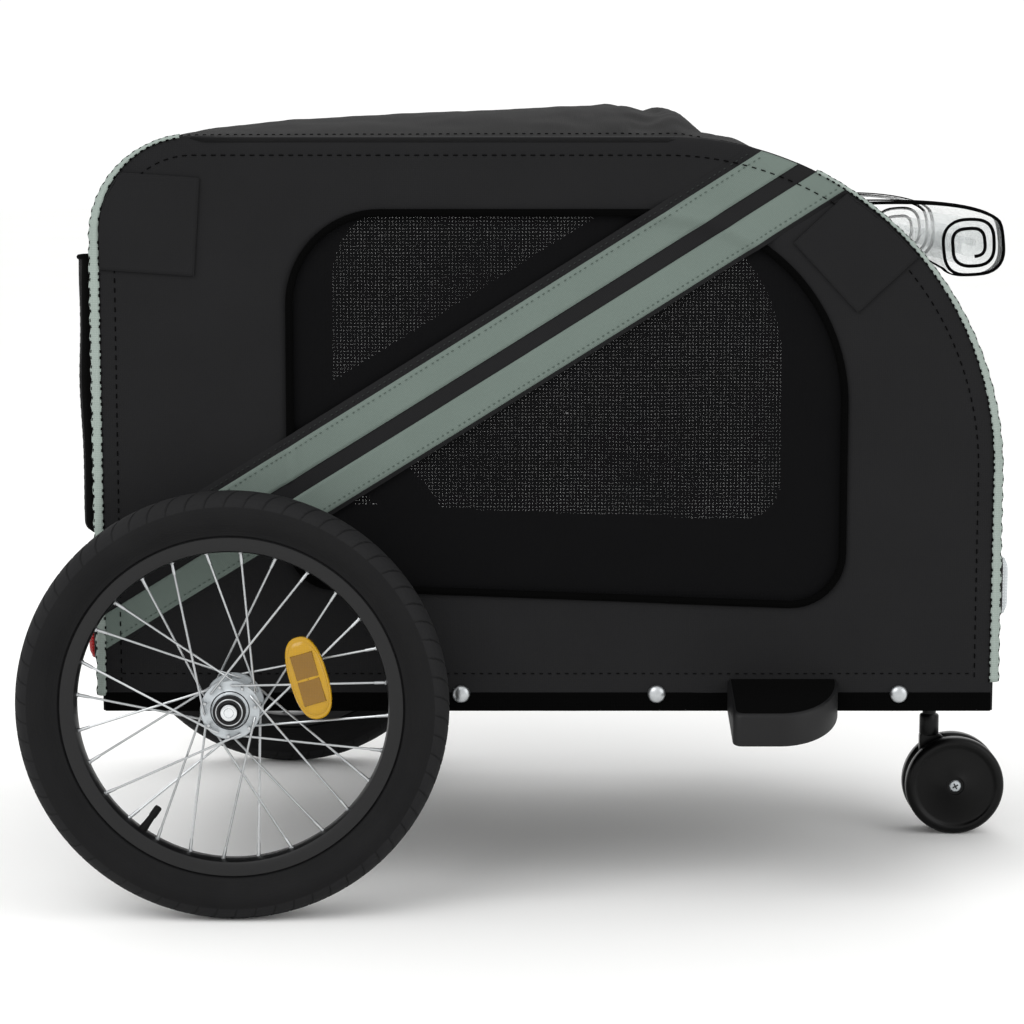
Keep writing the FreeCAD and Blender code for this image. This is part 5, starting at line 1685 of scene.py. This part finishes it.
@dataclass
class RoadWheel:
    """One spoked wheel with its axle head and release button."""

    shop: Workshop
    side: Side
    track: float = 340.0
    ring_count: int = 168
    casing: Profile = ((157.8, -12.2), (158.8, -10.8), (160.0, -12.6), (164.0, -14.2), (169.0, -18.2), (174.0, -20.6),
                       (179.0, -21.8), (184.0, -21.6), (189.0, -19.8), (193.0, -16.9), (196.2, -12.4), (198.0, -7.5),
                       (198.8, 0.0))
    bead: Profile = ((157.8, 12.2), (157.8, 8.0), (172.0, 0.0))
    tread: Profile = ((187.8, -20.6), (190.6, -19.6), (193.9, -16.9), (197.0, -12.4), (198.9, -7.5), (199.8, 0.0))
    tread_count: int = 66
    tread_slant: float = 0.2
    # Share along a segment, and how far it is sunk there
    tread_sunk: Profile = ((0.0, 1.2), (0.04, 0.0), (0.35, 0.0), (0.65, 0.0), (0.96, 0.0), (1.0, 1.2))
    hoop: Profile = ((143.6, 0.0), (143.8, 7.5), (145.2, 10.4), (148.0, 11.6), (153.5, 12.0), (157.4, 12.3),
                     (158.3, 11.6), (158.2, 10.4), (154.0, 9.2), (149.0, 7.0), (147.0, 0.0))
    spoke_count: int = 28
    spoke_radius: float = 1.1
    first_spoke: float = 9.0
    crossing: int = 6
    hole_radius: float = 23.5
    clear_radius: float = 29.5
    flange_y: float = 19.5
    spoke_off: float = 2.6
    bed_radius: float = 142.9
    bed_y: float = 3.0
    slant: float = (flange_y + 6.0) / 143.5
    nipple: Profile = ((1.0, -11.0), (1.4, -10.6), (1.55, -8.0), (1.6, -1.0), (2.2, -0.6), (2.2, 1.2))
    spoke_head: Profile = ((0.05, -1.0), (1.4, -0.8), (1.8, 0.0), (1.4, 0.6))
    flange: Profile = ((16.0, 14.0), (18.0, 17.6), (24.0, 18.0), (26.8, 18.2), (27.5, 19.0), (27.5, 20.0),
                       (26.8, 20.8), (24.0, 21.0), (19.0, 21.2), (17.0, 22.4), (15.6, 23.6), (13.0, 24.0), (6.4, 24.0))
    hub_line: Flat = (17.6, 22.2)
    stem: Profile = ((4.0, -2.0), (4.0, 3.0), (3.6, 6.0), (3.1, 14.0), (3.1, 15.0), (3.6, 15.4), (3.6, 24.0),
                     (3.2, 25.6), (0.05, 26.0))
    stem_at: Flat = (143.5, 234.0)
    lens_at: Point = (77.0, 22.0, 12.2)
    lens_lean: float = math.radians(16.0)
    lens_size: Point = (17.5, 39.0, 9.0)
    field_shift: float = 12.4
    pin: Profile = ((0.05, 237.6), (5.0, 237.6), (6.0, 239.0), (6.0, 364.3))
    head: Profile = ((6.0, 364.3), (14.2, 364.3), (15.0, 365.0), (15.0, 370.8), (14.0, 372.0), (9.6, 372.3),
                     (8.6, 371.6), (8.4, 366.4), (0.05, 366.4))
    head_ring: Flat = (12.0, 372.0)
    button: Profile = ((7.6, 369.7), (8.0, 370.0), (8.0, 373.6), (7.4, 374.6), (5.6, 375.2), (4.6, 375.0),
                       (4.0, 374.3), (0.05, 374.1))

    @property
    def hub(self) -> Vector:
        """Return the wheel's middle."""
        return Vector((AXLE_X, self.side.value * self.track, AXLE_Z))

    def at(self, radius: float, angle: float, y: float) -> Vector:
        """Return a point of the wheel from its radius, angle in degrees and distance outwards."""
        turn = math.radians(angle)
        return self.hub + Vector((radius * math.cos(turn), self.side.value * y, radius * math.sin(turn)))

    def lathed(self, profile: Sequence[Flat], count: int) -> Surface:
        """Turn a profile of (radius, distance outwards) about the axle."""
        return Surface().lathe(profile, self.hub, self.side.out, count)

    def add(self, name: str, surface: Surface, finish: str, nodes: Sequence[str] = (),
            sharp: float = SMOOTH_ANGLE) -> None:
        """Add one of the wheel's pieces.

        Args:
            name: Its name without the side.
            surface: Its mesh.
            finish: Its finish.
            nodes: The solids it stands for, without the side.
            sharp: Angle in degrees above which an edge stays sharp.
        """
        label = self.side.label
        named = [f"{node}_{label}" for node in nodes]
        self.shop.piece(f"{name}_{label}", surface, finish, f"wheel_{label}", named, sharp=sharp)

    def build(self) -> None:
        """Make the wheel."""
        self.tyre()
        self.add("rim_hoop", self.lathed(mirrored(self.hoop), self.ring_count), "rim", ("rim",))
        self.lacing()
        shell = [(r, -y) for r, y in reversed(self.flange)] + [*self.flange, (6.4, -24.0)]
        self.add("hub_body", self.lathed(shell, 72), "hub", ("hub",), CRISP_ANGLE)
        # A thin dark ring at the hub's shoulder: painted shade of the step there
        radius, y = self.hub_line
        ring = [tuple(self.at(radius, angle, y)) for angle in steps(0.0, 360.0, 72)[:-1]]
        self.add("hub_line", Surface().tube(ring, 0.5, 6, closed=True), "plastic")
        self.fittings()
        self.axle()

    def tyre(self) -> None:
        """Make the casing, and the tread of shallow segments with slanted grooves between them."""
        casing = self.lathed(mirrored(self.casing), self.ring_count)
        casing.lathe(mirrored(self.bead), self.hub, self.side.out, self.ring_count)
        self.add("tyre_casing", casing, "tyre", ("tyre",), CRISP_ANGLE)
        pitch = 360.0 / self.tread_count
        tread = Surface()
        for k in range(self.tread_count):
            rows = []
            for radius, y in mirrored(self.tread):
                start = k * pitch + self.tread_slant * abs(y)
                edge = 1.1 if abs(y) > 20 else 0.0
                rows.append([tuple(self.at(radius - max(edge, sunk), start + share * (pitch - 0.4), y))
                             for share, sunk in self.tread_sunk])
            tread.grid(rows)
        self.add("tyre_tread", tread, "tread", sharp=CRISP_ANGLE)

    def lacing(self) -> None:
        """Make the spokes with their bent heads, and the nipples."""
        spokes, nipples = Surface(), Surface()
        step = 360.0 / self.spoke_count
        outside = self.spoke_off + math.sqrt(self.clear_radius ** 2 - self.hole_radius ** 2) * self.slant
        for flange, lead in ((1, 1), (1, -1), (-1, 1), (-1, -1)):
            elbow_off, head_off = (outside, self.spoke_off) if lead > 0 else (self.spoke_off, outside)
            for k in range(self.spoke_count // 4):
                base = self.first_spoke + (0 if flange > 0 else step) + (0 if lead > 0 else 2 * step) + 4 * step * k
                angle, y = base + lead * self.crossing * step, flange * self.flange_y
                elbow = self.at(self.hole_radius, angle, y + lead * flange * elbow_off)
                head = self.at(self.hole_radius, angle, y - lead * flange * (head_off + 0.6))
                bed = self.at(self.bed_radius, base, flange * self.bed_y)
                path = [head, elbow.lerp(head, 0.25), *(elbow.lerp(bed, share) for share in (0.02, 0.3, 0.6)), bed]
                spokes.tube([tuple(p) for p in path], self.spoke_radius, 8)
                nipples.lathe(self.nipple, bed, (bed - elbow).normalized(), 10)
                spokes.lathe(self.spoke_head, head, self.side.out * (lead * flange), 10)
        self.add("spoke_wires", spokes, "steel", ("spokes",))
        self.add("spoke_nipples", nipples, "steel")

    def fittings(self) -> None:
        """Make the valve and the spoke reflector."""
        bed = self.at(*self.stem_at, 0.0)
        self.add("valve_stem", Surface().lathe(self.stem, bed, (self.hub - bed).normalized(), 24), "valve", ("valve",))
        centre, out = self.at(*self.lens_at), self.side.out
        c, s = math.cos(self.lens_lean), math.sin(self.lens_lean)
        wide, tall = Vector((c, 0, s)), Vector((-s, 0, c))
        axes = [way * size for way, size in zip((wide, tall, out), self.lens_size)]
        self.add("spoke_lens", Surface().lens(centre, axes, 2.5, 0.3, 64), "amber", ("spoke_reflector",), CRISP_ANGLE)
        fields = Surface()
        for shift in (-self.field_shift, self.field_shift):
            fields.block(centre + tall * shift + out * 8.4, (wide * 10.6, tall * 11.8, out * 0.9), 0.94)
        self.add("spoke_lens_fields", fields, "amber_field")

    def axle(self) -> None:
        """Make the axle with its ringed head, and the button in it."""
        label, origin, out = self.side.label, Vector((AXLE_X, 0, AXLE_Z)), self.side.out
        self.shop.piece(f"axle_pin_{label}", Surface().lathe(self.pin, origin, out, 40), "steel",
                        nodes=(f"axle_{label}",))
        self.shop.piece(f"axle_head_{label}", Surface().lathe(self.head, origin, out, 48), "plastic")
        radius, y = self.head_ring
        ring = [(AXLE_X + radius * math.cos(a), self.side.value * y, AXLE_Z + radius * math.sin(a)) for a in circle(60)]
        self.shop.piece(f"axle_ring_{label}", Surface().tube(ring, 0.55, 6, closed=True), "steel")
        name = f"release_button_{label}"
        self.shop.piece(f"{name}_cap", Surface().lathe(self.button, origin, out, 40), "chrome", name, (name,))


@dataclass
class Caster:
    """The swivelling twin-wheel caster."""

    shop: Workshop
    centre: Flat = (433.5, 51.0)
    stem_x: float = 408.0
    stem: Profile = ((5.5, 209.5), (7.0, 208.0), (7.0, 124.5), (9.2, 123.5), (10.0, 122.0), (10.0, 104.0),
                     (9.0, 102.0), (0.05, 102.0))
    fork: Profile = ((398.0, 60.0), (398.0, 104.0), (418.0, 104.0), (453.5, 73.0), (453.5, 33.0), (412.0, 35.0))
    fork_radii: tuple[float, ...] = (14.0, 3.0, 12.0, 18.0, 18.0, 14.0)
    fork_middle: Flat = (422.0, 76.0)
    # Place across the fork, and its size there
    fork_layers: Profile = ((-4.4, 0.94), (-3.6, 1.0), (3.6, 1.0), (4.4, 0.94))
    wheel: Profile = ((4.3, 5.0), (46.0, 5.0), (49.0, 5.6), (50.6, 7.4), (51.0, 9.6), (51.0, 16.6), (50.2, 19.2),
                      (48.2, 21.0), (45.2, 21.8), (43.0, 21.4), (41.6, 20.4), (40.4, 19.4), (38.6, 19.1), (12.0, 19.6),
                      (10.8, 20.4), (9.4, 20.4), (8.8, 19.4), (4.3, 19.4), (4.3, 5.0))
    screw: Profile = ((0.05, 0.0), (4.0, 0.0), (4.0, 18.3), (6.3, 18.3), (6.3, 19.4), (5.2, 20.8), (2.8, 21.3),
                      (0.05, 21.3))
    slot_y: float = 21.2
    slot_turn: float = 0.5

    def build(self) -> None:
        """Make the caster's stem and fork, wheels and screws."""
        x, z = self.centre
        outline = rounded_loop(self.fork, self.fork_radii, 3.0)
        rings = [[(blend(self.fork_middle[0], px, size), y, blend(self.fork_middle[1], pz, size)) for px, pz in outline]
                 for y, size in self.fork_layers]
        stem = Surface().lathe(self.stem, (self.stem_x, 0, 0), (0, 0, 1), 40)
        stem.grid(rings, wrap=True).cap(rings[0], rings[-1])
        self.shop.piece("caster_fork", stem, "caster", "caster_swivel", ("caster_body",))
        screws, slots = Surface(), Surface()
        for side in Side:
            wheel = f"caster_wheel_{side.label}"
            self.shop.piece(f"caster_tyre_{side.label}", Surface().lathe(self.wheel, (x, 0, z), side.out, 96), "caster",
                            wheel, (wheel,))
            screws.lathe(self.screw, (x, 0, z), side.out, 32)
            # The cross recess is not cut: two dark blocks on each screw head are painted shade for it
            for a in (self.slot_turn, self.slot_turn + math.pi / 2):
                way = Vector((math.cos(a), 0, math.sin(a)))
                slots.block(Vector((x, side.value * self.slot_y, z)),
                            (way * 3.2, way.cross(side.out) * 0.7, side.out * 0.25))
        self.shop.piece("caster_screws", screws, "hub", "caster_swivel", ("caster_axle",))
        self.shop.piece("caster_screw_slots", slots, "plastic", "caster_swivel")


@dataclass
class Deflectors:
    """The moulded side deflectors: a sloping top, a skirt and a hollow underside."""

    shop: Workshop
    rear_x: float = 175.0
    front_x: float = 278.0
    flat_x: float = 217.0
    reach: float = 78.0
    rounding: float = 8.0
    wall: float = 4.0
    slope: float = math.radians(14.0)
    top_z: float = CABIN.bottom_z + 30.0
    foot: float = 29.4
    off_cloth: float = 2.8
    # Inset of the outer skin and its drop, from the foot up
    skin: Profile = ((0.0, foot), (0.0, 3.0), (0.9, 0.9), (3.0, 0.0))

    def build(self) -> None:
        """Make one on each side."""
        for side in Side:
            self.deflector(side)

    def outline(self, wall: float) -> list[Flat]:
        """Draw the plan.

        Args:
            wall: How far it is drawn in.

        Returns:
            The x and reach of its points.
        """
        low, high, reach, edge = self.rear_x + wall, self.front_x - wall, self.reach - wall, self.rounding
        points = [(low, 0.0), (low, reach - edge)]
        points += [(low + edge - edge * math.cos(a), reach - edge + edge * math.sin(a))
                   for a in steps(0.0, math.pi / 2, 6)[1:]]
        return points + [(self.flat_x + (high - self.flat_x) * math.sin(a), reach * math.cos(a))
                         for a in steps(0.0, math.pi / 2, 28)]

    def line(self, side: Side, plan: Sequence[Flat], drop: float) -> list[Point]:
        """Lay points of the plan on the slope.

        Args:
            side: Which deflector.
            plan: The x and reach of each point.
            drop: How far they lie below the top.

        Returns:
            The points.
        """
        foot = CABIN.half + self.off_cloth
        return [(x, side.value * (foot + reach * math.cos(self.slope)),
                 self.top_z - reach * math.sin(self.slope) - drop) for x, reach in plan]

    def deflector(self, side: Side) -> None:
        """Make one deflector.

        Args:
            side: Which one.
        """
        rows = [self.line(side, self.outline(inset), drop) for inset, drop in self.skin]
        # The top is the deflector's own plastic made darker and duller: painted shade
        self.shop.piece(f"deflector_top_{side.label}", Surface().cap(rows[-1]), "matt")
        inner = [self.line(side, self.outline(self.wall), drop) for drop in (self.foot, 4.5)]
        plan = [(x, 0.0) for x in steps(self.rear_x, self.front_x, 12)]
        back = [self.line(side, plan, drop) for drop in (0.5, self.foot)]
        body = Surface().grid(rows).grid(inner).cap(inner[-1]).grid([rows[0], inner[0]]).grid(back)
        self.shop.piece(f"deflector_{side.label}", body, "plastic", nodes=("side_deflectors",))


@dataclass
class Studio:
    """Camera, soft light and a paper floor, with lengths in metres."""

    focal: float = 99.19
    sensor: float = 36.0
    place: Point = (-0.0272, -2.8923, 0.710)
    tilt: float = math.radians(90.0 - 7.372)
    sky: float = 1.06
    aim: Point = (0.0, 0.0, 0.4)
    # Name, place, width and power in watts
    lamps: tuple = (("key", (-1.6, -2.4, 2.6), 2.2, 44.0), ("fill", (2.4, -1.8, 1.4), 2.0, 16.0),
                    ("back", (0.4, 2.6, 2.4), 2.4, 20.0))
    floor_half: float = 30.0
    floor_tones: tuple[str, str] = ("#f7f7f6", "#fbfbfa")
    # Size of the paper's faint clouds in mm
    floor_cloud: float = 900.0

    def camera(self) -> None:
        """Place the camera where the photograph was taken from."""
        data = bpy.data.cameras.new("camera")
        data.sensor_width = self.sensor
        data.lens = self.focal
        data.clip_end = 100.0
        camera = bpy.data.objects.new("camera", data)
        camera.location = self.place
        camera.rotation_euler = (self.tilt, 0.0, 0.0)
        bpy.context.scene.collection.objects.link(camera)
        bpy.context.scene.camera = camera

    def build(self) -> None:
        """Make the world, lamps and floor."""
        scene = bpy.context.scene
        scene.view_settings.view_transform = "Standard"
        world = bpy.data.worlds.new("studio")
        world.use_nodes = True
        sky = world.node_tree.nodes["Background"].inputs
        sky[0].default_value, sky[1].default_value = srgb("#ffffff"), self.sky
        scene.world = world
        for name, place, width, power in self.lamps:
            data = bpy.data.lights.new(name, "AREA")
            data.size, data.energy = width, power
            lamp = bpy.data.objects.new(name, data)
            lamp.location = place
            lamp.rotation_euler = (Vector(self.aim) - Vector(place)).to_track_quat("-Z", "Y").to_euler()
            scene.collection.objects.link(lamp)
        self.floor()

    def floor(self) -> None:
        """Make the pale paper floor, which keeps the shadow."""
        shader = Shader("paper_floor")
        place = shader.add("TexCoord", out="Object")
        shade = shader.add("TexNoise", {"Vector": place, "Scale": cells_per(self.floor_cloud)})
        dark, light = map(srgb, self.floor_tones)
        tone = shader.add("Mix", {0: shade, 6: dark, 7: light}, 2, data_type="RGBA")
        paper = shader.add("BsdfPrincipled", {"Base Color": tone, "Roughness": 0.9, "Specular IOR Level": 0.1})
        shader.add("OutputMaterial", {"Surface": paper})
        mesh = bpy.data.meshes.new("floor")
        mesh.from_pydata([(x * self.floor_half, y * self.floor_half, 0)
                          for x, y in ((-1, -1), (1, -1), (1, 1), (-1, 1))], [], [(0, 1, 2, 3)])
        mesh.materials.append(shader.material)
        floor = bpy.data.objects.new("floor", mesh)
        bpy.context.scene.collection.objects.link(floor)


def main() -> None:
    """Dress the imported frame, report each piece and set up the studio."""
    logging.basicConfig(level=logging.INFO)
    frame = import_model()
    studio = Studio()
    studio.camera()
    shop = Workshop()
    shop.carry(frame)
    for side in Side:
        SideWall(shop, side).build()
        RoadWheel(shop, side).build()
    for assembly in (Roof, EndWalls, RainCover, EndReflectors, Caster, Deflectors):
        assembly(shop).build()
    for made in shop.made:
        LOG.info("made %s of %s", made.name, made.active_material.name)
    studio.build()


if __name__ == "__main__":
    main()
